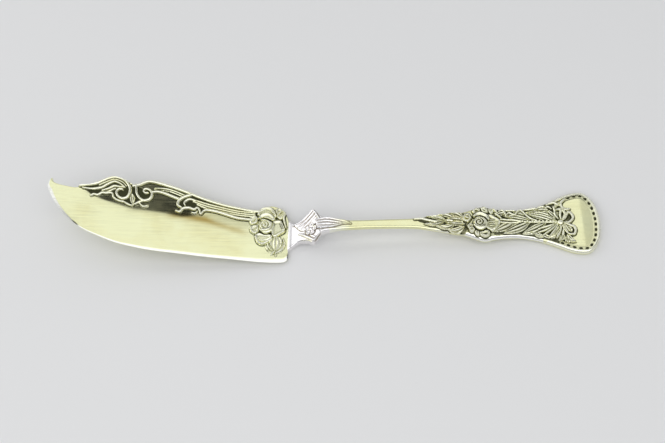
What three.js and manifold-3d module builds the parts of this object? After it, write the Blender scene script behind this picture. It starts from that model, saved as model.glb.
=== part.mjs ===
// A silver table knife for butter: a blade with a tang, a neck bolster, a handle, and cast ornament on top.
// Millimetres, +Z up. The knife lies as on a table, +X towards the handle's end, +Y to the blade's back.
// Stations run along the knife from the handle's end: a station s lies at x = -s before the part is centred.
import * as THREE from "three";
import { mergeVertices } from "three/addons/utils/BufferGeometryUtils.js";
import Module from "manifold-3d";

const wasm = await Module();
wasm.setup();

// Lengths along the knife
const GRIP_LENGTH = 58.6; // the broad ornamented part of the handle
const SHANK_LENGTH = 27.9; // the slim part between the grip and the neck
const BOLSTER_LENGTH = 14.3; // the neck between the shank and the blade's heel
const BLADE_LENGTH = 79.5;
const EAR_AT = 5.5; // the shank's seam to the bolster's ears
const END_CORNER = 5.5; // the handle's end to its widest place

// Half widths of the handle and the neck
const END_HALF = 11; // across the fan shaped end
const WAIST_HALF = 4.9;
const ROSE_SEAT_HALF = 6.1; // the swelling under the grip's rose
const SPRAY_HALF = 3.6;
const SHANK_HALF = 1.6;
const NECK_HALF = 2.5; // where the shank meets the bolster
const EAR_HALF = 6.2; // across the bolster's two ears
const BOLSTER_WAIST_HALF = 3.8;
const BOLSTER_HEEL_HALF = 5.6;
const NECK_OFFSET = 0.8; // the neck's middle line lies this far towards the blade's back
const END_FLAT_HALF = 0.2; // half of the straight bit at the middle of the end

// Depths of the blade from the knife's axis
const EDGE_DROP = 9.5; // axis down to the cutting edge
const HEEL_LOBE_RISE = 11; // axis up to the lobe behind the heel's rose
const BACK_RISE = 9.4; // axis up to the back's lowest place
const HUMP_RISE = 19.3; // the back's hump beside the second scroll
const CREST_RISE = 20; // the crest behind the plume
const POINT_RISE = 19.4; // the upturned point
const CREST_SHARE = 0.721; // place of the crest along the blade
const NOTCH_DROP = 2.5; // crest down to the notch between the hump and the crest
const SHELF_DROP = 3.2; // crest down to the shelf under the plume's tip
const HOLLOW_DROP = 3.75; // crest down to the hollow behind the point

// Thicknesses
const END_THICKNESS = 2.1;
const SHANK_THICKNESS = 2.6;
const NECK_THICKNESS = 3.2;
const HEEL_THICKNESS = 2.2; // the bolster where it meets the blade
const EDGE_THICKNESS = 0.6;
const BACK_THICKNESS = 1.5;
const EDGE_CHAMFER = 0.5; // drop of the handle's rounded upper edges

// How the knife lies: flat at the handle's end, arched at the shank, and touching again along the heel
const REST_LENGTH = 8; // flat underside at the handle's end
const ARCH_AT = 78; // station where the arch is full
const ARCH_RISE = 5.2;
const BLADE_SLOPE = 0.12; // rise of the blade per millimetre of length
const CURL_RISE = 3.2; // added rise at the point, growing with the square of the length

// The tang and its slot
const TANG_WIDTH = 1.6;
const TANG_THICKNESS = 0.8;
const TANG_IN_SHANK = 8; // length held inside the shank
const TANG_ROOT = 1.6; // length sunk into the blade
const TANG_CLEARANCE = 0.15;

// All castings
const SEAT_GAP = 0.1; // solder film under each casting
const ORNAMENT_GAP = 0.5; // left between neighbouring castings
const RELIEF = 0.9; // height of a ridge or a leaf
const RIM_SHARE = 0.45; // part of that height which stands upright at the sides
const ROOT_DEPTH = 0.5; // how deep a casting starts before it is trimmed to its seat
const BED_MARGIN = 6; // how far the trimming bed reaches past its stretch, and down

// The plume and the scrolls on the crest, all measured from the crest
const PLUME_REACH = 11.9; // forward to the plume's tip
const PLUME_DROP = 3.6; // down to the plume's tip
const PLUME_EYE_BACK = 1.3;
const PLUME_EYE_DROP = 5.3;
const PLUME_SCROLL = 4.5; // radius where the plume's scroll starts
const SECOND_EYE_BACK = 9.9;
const SECOND_EYE_DROP = 5.4;
const SECOND_SCROLL = 4.6; // radius where the second scroll starts
const SCROLL_TIGHTEN = 0.66; // share of the radius left after a quarter turn
const SCROLL_WIDTH = 1.5;
const DROP_LENGTH = 5.4; // the drop between the scrolls
const DROP_WIDTH = 2.4;
const FOOT_LENGTH = 3.5; // the leaflets at the drop's foot
const FOOT_WIDTH = 1.3;

// The reeds along the blade's back
const REED_WIDTH = 0.9;
const REED_PITCH = 1.1; // from reed to reed
const REED_COUNT = 4;
const REED_GROUND = 0.35; // thickness of the plate that carries the reeds
const CLASP_SHARE = 0.68; // place of the clasp along the reeds
const CLASP_WIDTH = 3;
const CLASP_OVERHANG = 2.4; // below the reeds
const TENDRIL_REACH = 5.6;
const TENDRIL_DROP = 2.1;

// The roses and the bud
const HEEL_ROSE_RADIUS = 6.2;
const HEEL_ROSE_AT = 7.4; // heel to the rose's middle
const HEEL_ROSE_RISE = 3.2; // axis up to the rose's middle
const GRIP_ROSE_RADIUS = 5.4;
const GRIP_ROSE_AT = 38; // handle's end to the rose's middle
const ROSE_RELIEF = 1.7;
const PETALS = 5;
const BUD_RADIUS = 1.3;
const BUD_DROP = 1.4; // the rose's rim to the bud's middle
const BUD_LEAF = 4;
const BUD_LEAF_WIDTH = 2.4;

// Leaves on the neck and the shank
const NECK_LEAF_ROOT = 7.9; // the shank's seam to the leaf's root on the bolster
const NECK_LEAF_REACH = 7.8; // the seam to the leaf's tip on the shank
const NECK_LEAF_WIDTH = 4.2;
const EAR_LEAF_WIDTH = 2;
const LEAF_INSET = 0.7; // left between a leaf's tip and the outline
const SPRAY_TIP_WIDTH = 3;
const SPRAY_LEAF_WIDTH = 1.7;

// The fern, the bow and the beaded border on the grip
const FERN_PAIRS = 6;
const FERN_LEAF = 4.1; // length of one leaflet
const FERN_LEAF_WIDTH = 1.8;
const FERN_RIB = 1;
const LEAN = THREE.MathUtils.degToRad(52); // of the leaflets and the bow's loops, from the axis
const BOW_AT = 12.3; // handle's end to the bow's knot
const BOW_LOOP = 5.2; // length of one loop
const LOOP_WIDTH = 2.6;
const RIBBON_WIDTH = 1.2;
const TAIL_BACK = 0.9; // the knot to the ends of the tails, along the knife
const KNOT_RADIUS = 1.4;
const BEAD_DIAMETER = 1.3;
const BEAD_PITCH = 2;
const BEAD_INSET = 1.35; // handle's outline to the beads' middles
const BEAD_REACH = 15; // how far the border runs up both sides from the end
const BAND_WIDTH = 0.8; // the band that carries the beads

// How finely the curves are cut
const BODY_STEPS = 60;
const NECK_STEPS = 24;
const SCROLL_STEPS = 28;
const STROKE_STEPS = 9;
const LEAF_STEPS = 6;
const SIDES = 8;
const SAMPLES = 400;

const plan = (s, y) => new THREE.Vector2(s, y);
const smooth = (from, to, value) => THREE.MathUtils.smoothstep(value, from, to);
const mix = THREE.MathUtils.lerp;

const shankAt = GRIP_LENGTH;
const bolsterAt = GRIP_LENGTH + SHANK_LENGTH;
const earsAt = bolsterAt + EAR_AT;
const heelAt = bolsterAt + BOLSTER_LENGTH;
const waistAt = mix(BOW_AT, GRIP_ROSE_AT, 0.65);
const crestAt = CREST_SHARE * BLADE_LENGTH;

// Thickness of the handle and the bolster along the knife
function bodyThickness(s) {
  const handle = mix(END_THICKNESS, SHANK_THICKNESS, smooth(REST_LENGTH, shankAt, s));
  const neck = mix(handle, NECK_THICKNESS, smooth(bolsterAt - SHANK_LENGTH / 2, earsAt, s));
  return mix(neck, HEEL_THICKNESS, smooth(earsAt, heelAt, s));
}

// Thickness of the blade, growing from the edge to the back
function bladeThickness(y) {
  return mix(EDGE_THICKNESS, BACK_THICKNESS, (y + EDGE_DROP) / (EDGE_DROP + CREST_RISE));
}

// Underside of the handle and the bolster: flat, then arched, then down to the table at the heel
function bodyUnder(s) {
  return ARCH_RISE * (smooth(REST_LENGTH, ARCH_AT, s) - smooth(bolsterAt, heelAt, s));
}

// Underside of the blade, which leaves the bolster at half its thickness
function bladeUnder(s) {
  const beyond = s - heelAt;
  const lift = (HEEL_THICKNESS - bladeThickness(0)) / 2;
  return lift + beyond * BLADE_SLOPE + CURL_RISE * (beyond / BLADE_LENGTH) ** 2;
}

const bodyTop = (s) => bodyUnder(s) + bodyThickness(s);
const bladeTop = (s, y) => bladeUnder(s) + bladeThickness(y);

// A closed solid from points and triangles, with its faces turned outwards
function solidFrom(points, triangles) {
  const raw = new THREE.BufferGeometry();
  raw.setAttribute("position", new THREE.Float32BufferAttribute(points, 3));
  raw.setIndex(triangles);
  const merged = mergeVertices(raw, 1e-4);
  const vertProperties = merged.attributes.position.array;
  const triVerts = new Uint32Array(merged.index.array);
  const corner = (i) => new THREE.Vector3().fromArray(vertProperties, 3 * triVerts[i]);
  let volume = 0;
  for (let i = 0; i < triVerts.length; i += 3) {
    volume += corner(i).dot(corner(i + 1).cross(corner(i + 2)));
  }
  if (volume < 0) triVerts.reverse();
  return new wasm.Manifold(new wasm.Mesh({ numProp: 3, vertProperties, triVerts }));
}

// A solid from a three.js geometry that is closed
function solidOf(geometry) {
  const bare = geometry.index ? geometry.toNonIndexed() : geometry;
  const points = Array.from(bare.attributes.position.array);
  return solidFrom(points, [...Array(points.length / 3).keys()]);
}

// A closed strip between two rails in plan: each ring crosses from rail to rail on top and comes back below
function strip(railA, railB, steps, fractions, top, bottom) {
  const points = [];
  const triangles = [];
  const quad = (a, b, c, d) => triangles.push(a, b, c, a, c, d);
  const ring = 2 * fractions.length;
  for (let i = 0; i <= steps; i++) {
    const t = i / steps;
    const across = fractions.map((f) => railA(t).clone().lerp(railB(t), f));
    const upper = across.map((p, j) => [-p.x, p.y, top(p.x, p.y, fractions[j], t)]);
    const lower = across.map((p) => [-p.x, p.y, bottom(p.x, p.y)]);
    points.push(...upper.flat(), ...lower.reverse().flat());
  }
  for (let i = 0; i < steps; i++) {
    for (let j = 0; j < ring; j++) {
      const k = (j + 1) % ring;
      quad(i * ring + j, i * ring + k, (i + 1) * ring + k, (i + 1) * ring + j);
    }
  }
  const last = steps * ring;
  for (let j = 0; j < fractions.length - 1; j++) {
    quad(ring - 1 - j, ring - 2 - j, j + 1, j);
    quad(last + j, last + j + 1, last + ring - 2 - j, last + ring - 1 - j);
  }
  return solidFrom(points, triangles);
}

// A smooth rail through points in plan
function rail(points) {
  const curve = new THREE.SplineCurve(points);
  return (t) => curve.getPointAt(t);
}

const join = (solids) => solids.reduce((all, next) => all.add(next));

// Value at t on evenly spaced samples
function along(samples, t) {
  const place = t * (samples.length - 1);
  const low = Math.min(Math.floor(place), samples.length - 2);
  return mix(samples[low], samples[low + 1], place - low);
}

// The base that an ornament lies on: its top surface, and the bed that trims the ornament's underside to it
const bladeBase = { top: bladeTop, bed: makeBed(bladeTop, heelAt, heelAt + BLADE_LENGTH, 12) };
const neckBase = { top: bodyTop, bed: makeBed(bodyTop, bolsterAt - SHANK_LENGTH / 2, heelAt, 36) };
const gripBase = { top: bodyTop, bed: makeBed(bodyTop, 0, shankAt, 18) };

function makeBed(top, from, to, steps) {
  const edge = (y) => (t) => plan(mix(from - BED_MARGIN, to + BED_MARGIN, t), y);
  const seat = (s, y) => top(s, y) + SEAT_GAP;
  const floor = (s, y) => top(s, y) - BED_MARGIN;
  const rails = [edge(-END_HALF - BED_MARGIN), edge(CREST_RISE + BED_MARGIN)];
  return strip(...rails, steps, [0, 1], seat, floor);
}

const rooted = (base) => (s, y) => base.top(s, y) - ROOT_DEPTH;
const seated = (base, solids) => join(solids).subtract(base.bed);

// A raised ridge along a curve in plan: widths are samples from its start to its end
function ridge(base, points, widths, relief, steps) {
  const curve = new THREE.SplineCurve(points);
  const widest = Math.max(...widths);
  const side = (sign) => (t) => {
    const tangent = curve.getTangentAt(t);
    const half = (sign * along(widths, t)) / 2;
    return curve.getPointAt(t).add(plan(-tangent.y * half, tangent.x * half));
  };
  const top = (s, y, f, t) => {
    const bulge = mix(RIM_SHARE, 1, Math.sin(Math.PI * f));
    const swell = mix(0.5, 1, along(widths, t) / widest);
    return base.top(s, y) + SEAT_GAP + relief * bulge * swell;
  };
  return strip(side(-1), side(1), steps, [0, 0.3, 0.7, 1], top, rooted(base));
}

// A leaf from its root to its tip, bent sideways at its middle
function leaf(base, root, tip, width, bend = 0) {
  const middle = root.clone().lerp(tip, 0.5);
  const sideways = plan(root.y - tip.y, tip.x - root.x).normalize();
  middle.addScaledVector(sideways, bend * width);
  const widths = [0.35, 0.85, 1, 0.75, 0.15].map((share) => share * width);
  return ridge(base, [root, middle, tip], widths, RELIEF, LEAF_STEPS);
}

// A round boss with a domed top
function boss(base, centre, radius, height, sides) {
  const profile = [
    [0, -ROOT_DEPTH],
    [radius, -ROOT_DEPTH],
    [radius, SEAT_GAP + height * 0.35],
    [radius * 0.55, SEAT_GAP + height * 0.9],
    [0, SEAT_GAP + height],
  ];
  const turned = new THREE.LatheGeometry(profile.map(([r, h]) => plan(r, h)), sides);
  turned.rotateX(Math.PI / 2);
  turned.translate(-centre.x, centre.y, base.top(centre.x, centre.y));
  return solidOf(turned);
}

// A C scroll in plan, winding in from its rim to its eye; turns are signed, and counted from +s towards +y
function scroll(eye, radius, startTurn, turns) {
  const count = Math.round(Math.abs(turns) * 12);
  return Array.from({ length: count + 1 }, (_, i) => {
    const turned = (turns * i) / count;
    const reach = radius * SCROLL_TIGHTEN ** (4 * Math.abs(turned));
    const angle = 2 * Math.PI * (startTurn + turned);
    return plan(eye.x + reach * Math.cos(angle), eye.y + reach * Math.sin(angle));
  });
}

// A rose: a ring of broad petals, a smaller raised ring turned between them, and a bud
function rose(base, centre, radius) {
  const petals = [];
  const rings = [
    { reach: 1, width: 1.15, relief: 0.6, turn: 0 },
    { reach: 0.68, width: 0.8, relief: 0.85, turn: 0.5 },
  ];
  for (const { reach, width, relief, turn } of rings) {
    for (let i = 0; i < PETALS; i++) {
      const angle = (2 * Math.PI * (i + turn)) / PETALS;
      const out = plan(Math.cos(angle), Math.sin(angle));
      const root = centre.clone().addScaledVector(out, radius * 0.1);
      const tip = centre.clone().addScaledVector(out, radius * reach);
      const widths = [0.4, 0.9, 1, 0.9, 0.5].map((share) => share * width * radius);
      const spine = [root, root.clone().lerp(tip, 0.5), tip];
      petals.push(ridge(base, spine, widths, ROSE_RELIEF * relief, LEAF_STEPS));
    }
  }
  petals.push(boss(base, centre, radius * 0.28, ROSE_RELIEF, SIDES));
  return seated(base, petals);
}

// Outline of the handle: the half width at a station, from the handle's end to the bolster
const handleOutline = new THREE.SplineCurve([
  plan(0, 0),
  plan(0.05 * END_CORNER, 0.3 * END_HALF),
  plan(0.16 * END_CORNER, 0.56 * END_HALF),
  plan(0.4 * END_CORNER, 0.8 * END_HALF),
  plan(0.7 * END_CORNER, 0.95 * END_HALF),
  plan(END_CORNER, END_HALF),
  plan(mix(END_CORNER, waistAt, 0.11), 0.98 * END_HALF),
  plan(mix(END_CORNER, waistAt, 0.22), mix(WAIST_HALF, END_HALF, 0.83)),
  plan(mix(END_CORNER, waistAt, 0.32), mix(WAIST_HALF, END_HALF, 0.65)),
  plan(mix(END_CORNER, waistAt, 0.45), mix(WAIST_HALF, END_HALF, 0.43)),
  plan(mix(END_CORNER, waistAt, 0.62), mix(WAIST_HALF, END_HALF, 0.18)),
  plan(mix(END_CORNER, waistAt, 0.81), mix(WAIST_HALF, END_HALF, 0.03)),
  plan(waistAt, WAIST_HALF),
  plan(mix(waistAt, GRIP_ROSE_AT, 0.5), mix(WAIST_HALF, ROSE_SEAT_HALF, 0.4)),
  plan(mix(waistAt, GRIP_ROSE_AT, 0.81), ROSE_SEAT_HALF),
  plan(GRIP_ROSE_AT, 0.985 * ROSE_SEAT_HALF),
  plan(mix(GRIP_ROSE_AT, shankAt, 0.11), mix(SPRAY_HALF, ROSE_SEAT_HALF, 0.62)),
  plan(mix(GRIP_ROSE_AT, shankAt, 0.26), mix(SPRAY_HALF, ROSE_SEAT_HALF, 0.18)),
  plan(mix(GRIP_ROSE_AT, shankAt, 0.44), SPRAY_HALF),
  plan(mix(GRIP_ROSE_AT, shankAt, 0.61), mix(SHANK_HALF, SPRAY_HALF, 0.75)),
  plan(mix(GRIP_ROSE_AT, shankAt, 0.78), mix(SHANK_HALF, SPRAY_HALF, 0.48)),
  plan(shankAt, 1.15 * SHANK_HALF),
  plan(shankAt + SHANK_LENGTH / 4, SHANK_HALF),
  plan(bolsterAt - SHANK_LENGTH / 4, SHANK_HALF),
  plan(bolsterAt, NECK_HALF),
]);
const handleSamples = handleOutline.getSpacedPoints(SAMPLES);
const handleHalf = (s) => handleSamples.find((p) => p.x >= s).y;

// The neck's middle line, which leaves the axis beside the bolster and returns at the heel
function neckMiddle(s) {
  const leave = smooth(bolsterAt - SHANK_LENGTH / 4, earsAt, s);
  const back = smooth(heelAt - BOLSTER_LENGTH / 2, heelAt, s);
  return NECK_OFFSET * leave * (1 - back);
}

function handleSolid() {
  const side = (sign) => (t) => {
    const p = handleOutline.getPointAt(t);
    return plan(p.x, neckMiddle(p.x) + sign * Math.max(p.y, END_FLAT_HALF));
  };
  const lowered = (f) => (f === 0 || f === 1 ? EDGE_CHAMFER : 0);
  const top = (s, y, f) => bodyTop(s) - lowered(f);
  return strip(side(-1), side(1), BODY_STEPS, [0, 0.14, 0.86, 1], top, bodyUnder);
}

function bolsterSolid() {
  const outline = new THREE.SplineCurve([
    plan(bolsterAt, NECK_HALF),
    plan(mix(bolsterAt, earsAt, 0.34), 1.12 * NECK_HALF),
    plan(mix(bolsterAt, earsAt, 0.57), mix(NECK_HALF, EAR_HALF, 0.25)),
    plan(mix(bolsterAt, earsAt, 0.78), mix(NECK_HALF, EAR_HALF, 0.66)),
    plan(earsAt, EAR_HALF),
    plan(mix(earsAt, heelAt, 0.19), mix(BOLSTER_WAIST_HALF, EAR_HALF, 0.5)),
    plan(mix(earsAt, heelAt, 0.54), BOLSTER_WAIST_HALF),
    plan(mix(earsAt, heelAt, 0.77), mix(BOLSTER_WAIST_HALF, BOLSTER_HEEL_HALF, 0.3)),
    plan(heelAt, BOLSTER_HEEL_HALF),
  ]);
  const side = (sign) => (t) => {
    const p = outline.getPointAt(t);
    return plan(p.x, neckMiddle(p.x) + sign * p.y);
  };
  return strip(side(-1), side(1), NECK_STEPS, [0, 1], bodyTop, bodyUnder);
}

// Outline of the blade's back and edge, each from the heel to the point
const fromHeel = (share, y) => plan(heelAt + share * BLADE_LENGTH, y);
const backCurve = new THREE.SplineCurve([
  fromHeel(0, 0.48 * HEEL_LOBE_RISE),
  fromHeel(0.016, 0.83 * HEEL_LOBE_RISE),
  fromHeel(0.055, HEEL_LOBE_RISE),
  fromHeel(0.088, HEEL_LOBE_RISE),
  fromHeel(0.126, BACK_RISE),
  fromHeel(0.205, mix(BACK_RISE, HUMP_RISE, 0.1)),
  fromHeel(0.289, mix(BACK_RISE, HUMP_RISE, 0.26)),
  fromHeel(0.375, mix(BACK_RISE, HUMP_RISE, 0.5)),
  fromHeel(0.46, mix(BACK_RISE, HUMP_RISE, 0.75)),
  fromHeel(0.525, mix(BACK_RISE, HUMP_RISE, 0.91)),
  fromHeel(0.575, HUMP_RISE),
  fromHeel(0.604, HUMP_RISE - 0.2 * NOTCH_DROP),
  fromHeel(0.628, HUMP_RISE - 0.6 * NOTCH_DROP),
  fromHeel(0.652, CREST_RISE - NOTCH_DROP),
  fromHeel(0.678, CREST_RISE - 0.48 * NOTCH_DROP),
  fromHeel(CREST_SHARE, CREST_RISE),
  fromHeel(0.746, CREST_RISE - 0.06 * SHELF_DROP),
  fromHeel(0.781, CREST_RISE - 0.48 * SHELF_DROP),
  fromHeel(0.824, CREST_RISE - 0.9 * SHELF_DROP),
  fromHeel(0.864, CREST_RISE - SHELF_DROP),
  fromHeel(0.887, CREST_RISE - HOLLOW_DROP),
  fromHeel(0.928, POINT_RISE - 0.72 * HOLLOW_DROP),
  fromHeel(0.966, POINT_RISE - 0.53 * HOLLOW_DROP),
  fromHeel(0.985, POINT_RISE - 0.27 * HOLLOW_DROP),
  fromHeel(0.988, POINT_RISE),
]);
const turnRise = 0.09 * EDGE_DROP; // where the edge turns up to the point
const edgeCurve = new THREE.SplineCurve([
  fromHeel(0, -0.84 * EDGE_DROP),
  fromHeel(0.008, -0.94 * EDGE_DROP),
  fromHeel(0.031, -EDGE_DROP),
  fromHeel(0.112, -0.99 * EDGE_DROP),
  fromHeel(0.234, -0.9 * EDGE_DROP),
  fromHeel(0.355, -0.81 * EDGE_DROP),
  fromHeel(0.455, -0.72 * EDGE_DROP),
  fromHeel(0.557, -0.63 * EDGE_DROP),
  fromHeel(0.638, -0.51 * EDGE_DROP),
  fromHeel(0.7, -0.39 * EDGE_DROP),
  fromHeel(0.761, -0.2 * EDGE_DROP),
  fromHeel(0.838, turnRise),
  fromHeel(0.891, mix(turnRise, POINT_RISE, 0.17)),
  fromHeel(0.937, mix(turnRise, POINT_RISE, 0.364)),
  fromHeel(0.972, mix(turnRise, POINT_RISE, 0.569)),
  fromHeel(0.99, mix(turnRise, POINT_RISE, 0.714)),
  fromHeel(1, mix(turnRise, POINT_RISE, 0.817)),
  fromHeel(0.996, mix(turnRise, POINT_RISE, 0.93)),
]);

// Ornament lies on the back's own line: the back's height at a distance from the heel
const backSamples = backCurve.getSpacedPoints(SAMPLES);
function backAt(distance) {
  const after = Math.max(backSamples.findIndex((p) => p.x > heelAt + distance), 1);
  const a = backSamples[after - 1];
  const b = backSamples[after];
  return mix(a.y, b.y, (heelAt + distance - a.x) / (b.x - a.x));
}
const underBack = (distance, drop) => plan(heelAt + distance, backAt(distance) - drop);

// The tang runs from inside the blade through the bolster into the shank, half way up the metal all along
function tangSolid(clearance) {
  const rootEnd = heelAt + TANG_ROOT;
  const shankEnd = bolsterAt - TANG_IN_SHANK - clearance;
  const middle = neckMiddle(bolsterAt - TANG_IN_SHANK);
  const side = (sign) => (t) => plan(mix(rootEnd, shankEnd, t), middle + sign * (TANG_WIDTH / 2 + clearance));
  const inBody = (s) => bodyUnder(s) + bodyThickness(s) / 2;
  const inBlade = (s) => bladeUnder(s) + bladeThickness(0) / 2;
  const height = (s) => (s < heelAt ? inBody(s) : inBlade(s));
  const top = (s) => height(s) + TANG_THICKNESS / 2 + clearance;
  const bottom = (s) => height(s) - TANG_THICKNESS / 2 - clearance;
  return strip(side(-1), side(1), NECK_STEPS, [0, 1], top, bottom);
}

function bladeSolid() {
  const edge = (t) => edgeCurve.getPointAt(t);
  const back = (t) => backCurve.getPointAt(t);
  const top = (s, y, f) => (f === 0 ? bladeUnder(s) + EDGE_THICKNESS / 2 : bladeTop(s, y));
  return strip(edge, back, BODY_STEPS, [0, 0.12, 0.55, 1], top, bladeUnder).add(tangSolid(0));
}

// The plume that ends in a C scroll, the second scroll turned against it, and the drop between them
function plumeScroll() {
  const crest = underBack(crestAt, 0);
  const from = (back, down) => plan(crest.x - back, crest.y - down);
  const eye = from(PLUME_EYE_BACK, PLUME_EYE_DROP);
  const secondEye = from(SECOND_EYE_BACK, SECOND_EYE_DROP);
  const barb = (shares) => shares.map(([reach, drop]) => from(-reach * PLUME_REACH, drop * PLUME_DROP));
  const leadIn = barb([[1, 1], [0.76, 0.9], [0.51, 0.67], [0.28, 0.36]]);
  const upperBarb = barb([[0.7, 1.17], [0.5, 1.1], [0.33, 0.8], [0.15, 0.58], [-0.06, 0.67], [-0.27, 0.86]]);
  const lowerBarb = barb([[0.66, 1.7], [0.53, 1.64], [0.38, 1.55], [0.25, 1.36], [0.13, 1.05], [0, 0.78]]);
  const plumeCurl = scroll(eye, PLUME_SCROLL, 0.25, 1);
  const secondCurl = scroll(secondEye, SECOND_SCROLL, 0.125, -1.125);
  const between = plumeCurl[2].clone().lerp(secondCurl[0], 0.5).add(plan(0, SCROLL_WIDTH / 3));
  const bridge = [plumeCurl[2], between, secondCurl[0]];
  const dropRoot = eye.clone().lerp(secondEye, 0.45);
  const dropTip = dropRoot.clone().add(plan(0, -DROP_LENGTH));
  const footRoot = dropRoot.clone().lerp(dropTip, 0.65);
  const foot = (sign) => footRoot.clone().add(plan(sign * FOOT_LENGTH, -0.2 * FOOT_LENGTH));
  const stroke = (points, shares, steps) => {
    const widths = shares.map((share) => share * SCROLL_WIDTH);
    return ridge(bladeBase, points, widths, RELIEF, steps);
  };
  return seated(bladeBase, [
    stroke([...leadIn, ...plumeCurl], [0.27, 1, 1, 0.9, 0.6], SCROLL_STEPS),
    stroke(upperBarb, [0.27, 0.6, 0.6], STROKE_STEPS),
    stroke(lowerBarb, [0.27, 0.55, 0.6], STROKE_STEPS),
    stroke(secondCurl, [0.55, 1, 1, 0.6], SCROLL_STEPS),
    stroke(bridge, [0.6, 0.6], STROKE_STEPS),
    leaf(bladeBase, dropRoot, dropTip, DROP_WIDTH),
    leaf(bladeBase, footRoot, foot(1), FOOT_WIDTH, 0.3),
    leaf(bladeBase, footRoot, foot(-1), FOOT_WIDTH, -0.3),
  ]);
}

// Reeds along the back on a thin plate, bound by a clasp with a tendril below it
function spineReeds() {
  const start = HEEL_ROSE_AT + HEEL_ROSE_RADIUS + ORNAMENT_GAP;
  const scrollReach = SECOND_EYE_BACK + SECOND_SCROLL * SCROLL_TIGHTEN ** 2 + SCROLL_WIDTH / 2;
  const end = crestAt - scrollReach - ORNAMENT_GAP;
  const marks = [0, 0.17, 0.33, 0.5, 0.67, 0.83, 1];
  const follow = (inset, drop) => marks.map((t) => underBack(mix(start + inset, end - inset, t), drop));
  const bound = REED_COUNT * REED_PITCH;
  const plateTop = (s, y) => bladeTop(s, y) + SEAT_GAP + REED_GROUND;
  const rails = [rail(follow(0, bound)), rail(follow(0, 0))];
  const plate = strip(...rails, STROKE_STEPS, [0, 1], plateTop, rooted(bladeBase));
  const reeds = Array.from({ length: REED_COUNT }, (_, i) => {
    const path = follow(REED_GROUND, (i + 0.5) * REED_PITCH);
    return ridge(bladeBase, path, [REED_WIDTH, REED_WIDTH], RELIEF, STROKE_STEPS);
  });
  const claspAt = mix(start, end, CLASP_SHARE);
  const claspFoot = underBack(claspAt, bound + CLASP_OVERHANG);
  const clasp = leaf(bladeBase, underBack(claspAt, REED_GROUND), claspFoot, CLASP_WIDTH);
  const curl = [[0.54, 0.57], [0.18, 1], [-0.27, 0.9], [-0.6, 0.38], [-1, 0.19]];
  const tendril = curl.map(([reach, drop]) =>
    underBack(claspAt + reach * TENDRIL_REACH, bound + drop * TENDRIL_DROP),
  );
  const tendrilWidths = [0.5, 1, 1, 0.5].map((share) => share * REED_WIDTH);
  const curled = ridge(bladeBase, tendril, tendrilWidths, RELIEF, STROKE_STEPS);
  return seated(bladeBase, [plate, ...reeds, clasp, curled]);
}

// A bud between two leaves, just under the heel's rose
function heelLeafBud() {
  const roseFoot = HEEL_ROSE_RISE - HEEL_ROSE_RADIUS - ORNAMENT_GAP;
  const bud = plan(heelAt + HEEL_ROSE_AT - BUD_RADIUS, roseFoot - BUD_DROP);
  const tip = (degrees) => {
    const angle = THREE.MathUtils.degToRad(degrees);
    return bud.clone().add(plan(BUD_LEAF * Math.cos(angle), BUD_LEAF * Math.sin(angle)));
  };
  return seated(bladeBase, [
    leaf(bladeBase, bud, tip(-139), BUD_LEAF_WIDTH, -0.15),
    leaf(bladeBase, bud, tip(-7), BUD_LEAF_WIDTH, 0.15),
    boss(bladeBase, bud, BUD_RADIUS, 1.2 * RELIEF, SIDES),
  ]);
}

// The leaf that covers the seam between the bolster and the shank, with a leaflet out to each ear
function neckLeaf() {
  const middle = neckMiddle(bolsterAt);
  const root = plan(bolsterAt + NECK_LEAF_ROOT, middle);
  const ear = (sign) => plan(earsAt, middle + sign * (EAR_HALF - LEAF_INSET));
  return seated(neckBase, [
    leaf(neckBase, root, plan(bolsterAt - NECK_LEAF_REACH, middle * 0.7), NECK_LEAF_WIDTH),
    leaf(neckBase, root, ear(1), EAR_LEAF_WIDTH, -0.3),
    leaf(neckBase, root, ear(-1), EAR_LEAF_WIDTH, 0.3),
  ]);
}

// Five pointed leaves that run from the grip's rose towards the shank
function leafSpray() {
  const rootAt = GRIP_ROSE_AT + GRIP_ROSE_RADIUS + ORNAMENT_GAP;
  const root = plan(rootAt, 0);
  const side = SPRAY_HALF - LEAF_INSET;
  const tip = (reach, spread) => plan(mix(rootAt, shankAt, reach), spread * side);
  return seated(gripBase, [
    leaf(gripBase, root, plan(shankAt, 0), SPRAY_TIP_WIDTH),
    ...[-1, 1].flatMap((sign) => [
      leaf(gripBase, root, tip(0.55, 0.75 * sign), SPRAY_LEAF_WIDTH, sign * 0.3),
      leaf(gripBase, root, tip(0.24, sign), SPRAY_LEAF_WIDTH, sign * 0.3),
    ]),
  ]);
}

// Pairs of leaflets along a rib between the grip's rose and the bow
function gripFern() {
  const start = BOW_AT + KNOT_RADIUS + ORNAMENT_GAP;
  const end = GRIP_ROSE_AT - GRIP_ROSE_RADIUS - ORNAMENT_GAP;
  const spine = [plan(start, 0), plan((start + end) / 2, 0), plan(end, 0)];
  const rib = ridge(gripBase, spine, [FERN_RIB, FERN_RIB], RELIEF, STROKE_STEPS);
  const pitch = (end - start) / FERN_PAIRS;
  const leaflets = Array.from({ length: FERN_PAIRS }, (_, i) => {
    const root = plan(end - (i + 0.15) * pitch, 0);
    return [-1, 1].map((sign) => {
      const tip = plan(root.x - FERN_LEAF * Math.cos(LEAN), sign * FERN_LEAF * Math.sin(LEAN));
      return leaf(gripBase, root, tip, FERN_LEAF_WIDTH, sign * 0.17);
    });
  });
  return seated(gripBase, [rib, ...leaflets.flat()]);
}

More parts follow.
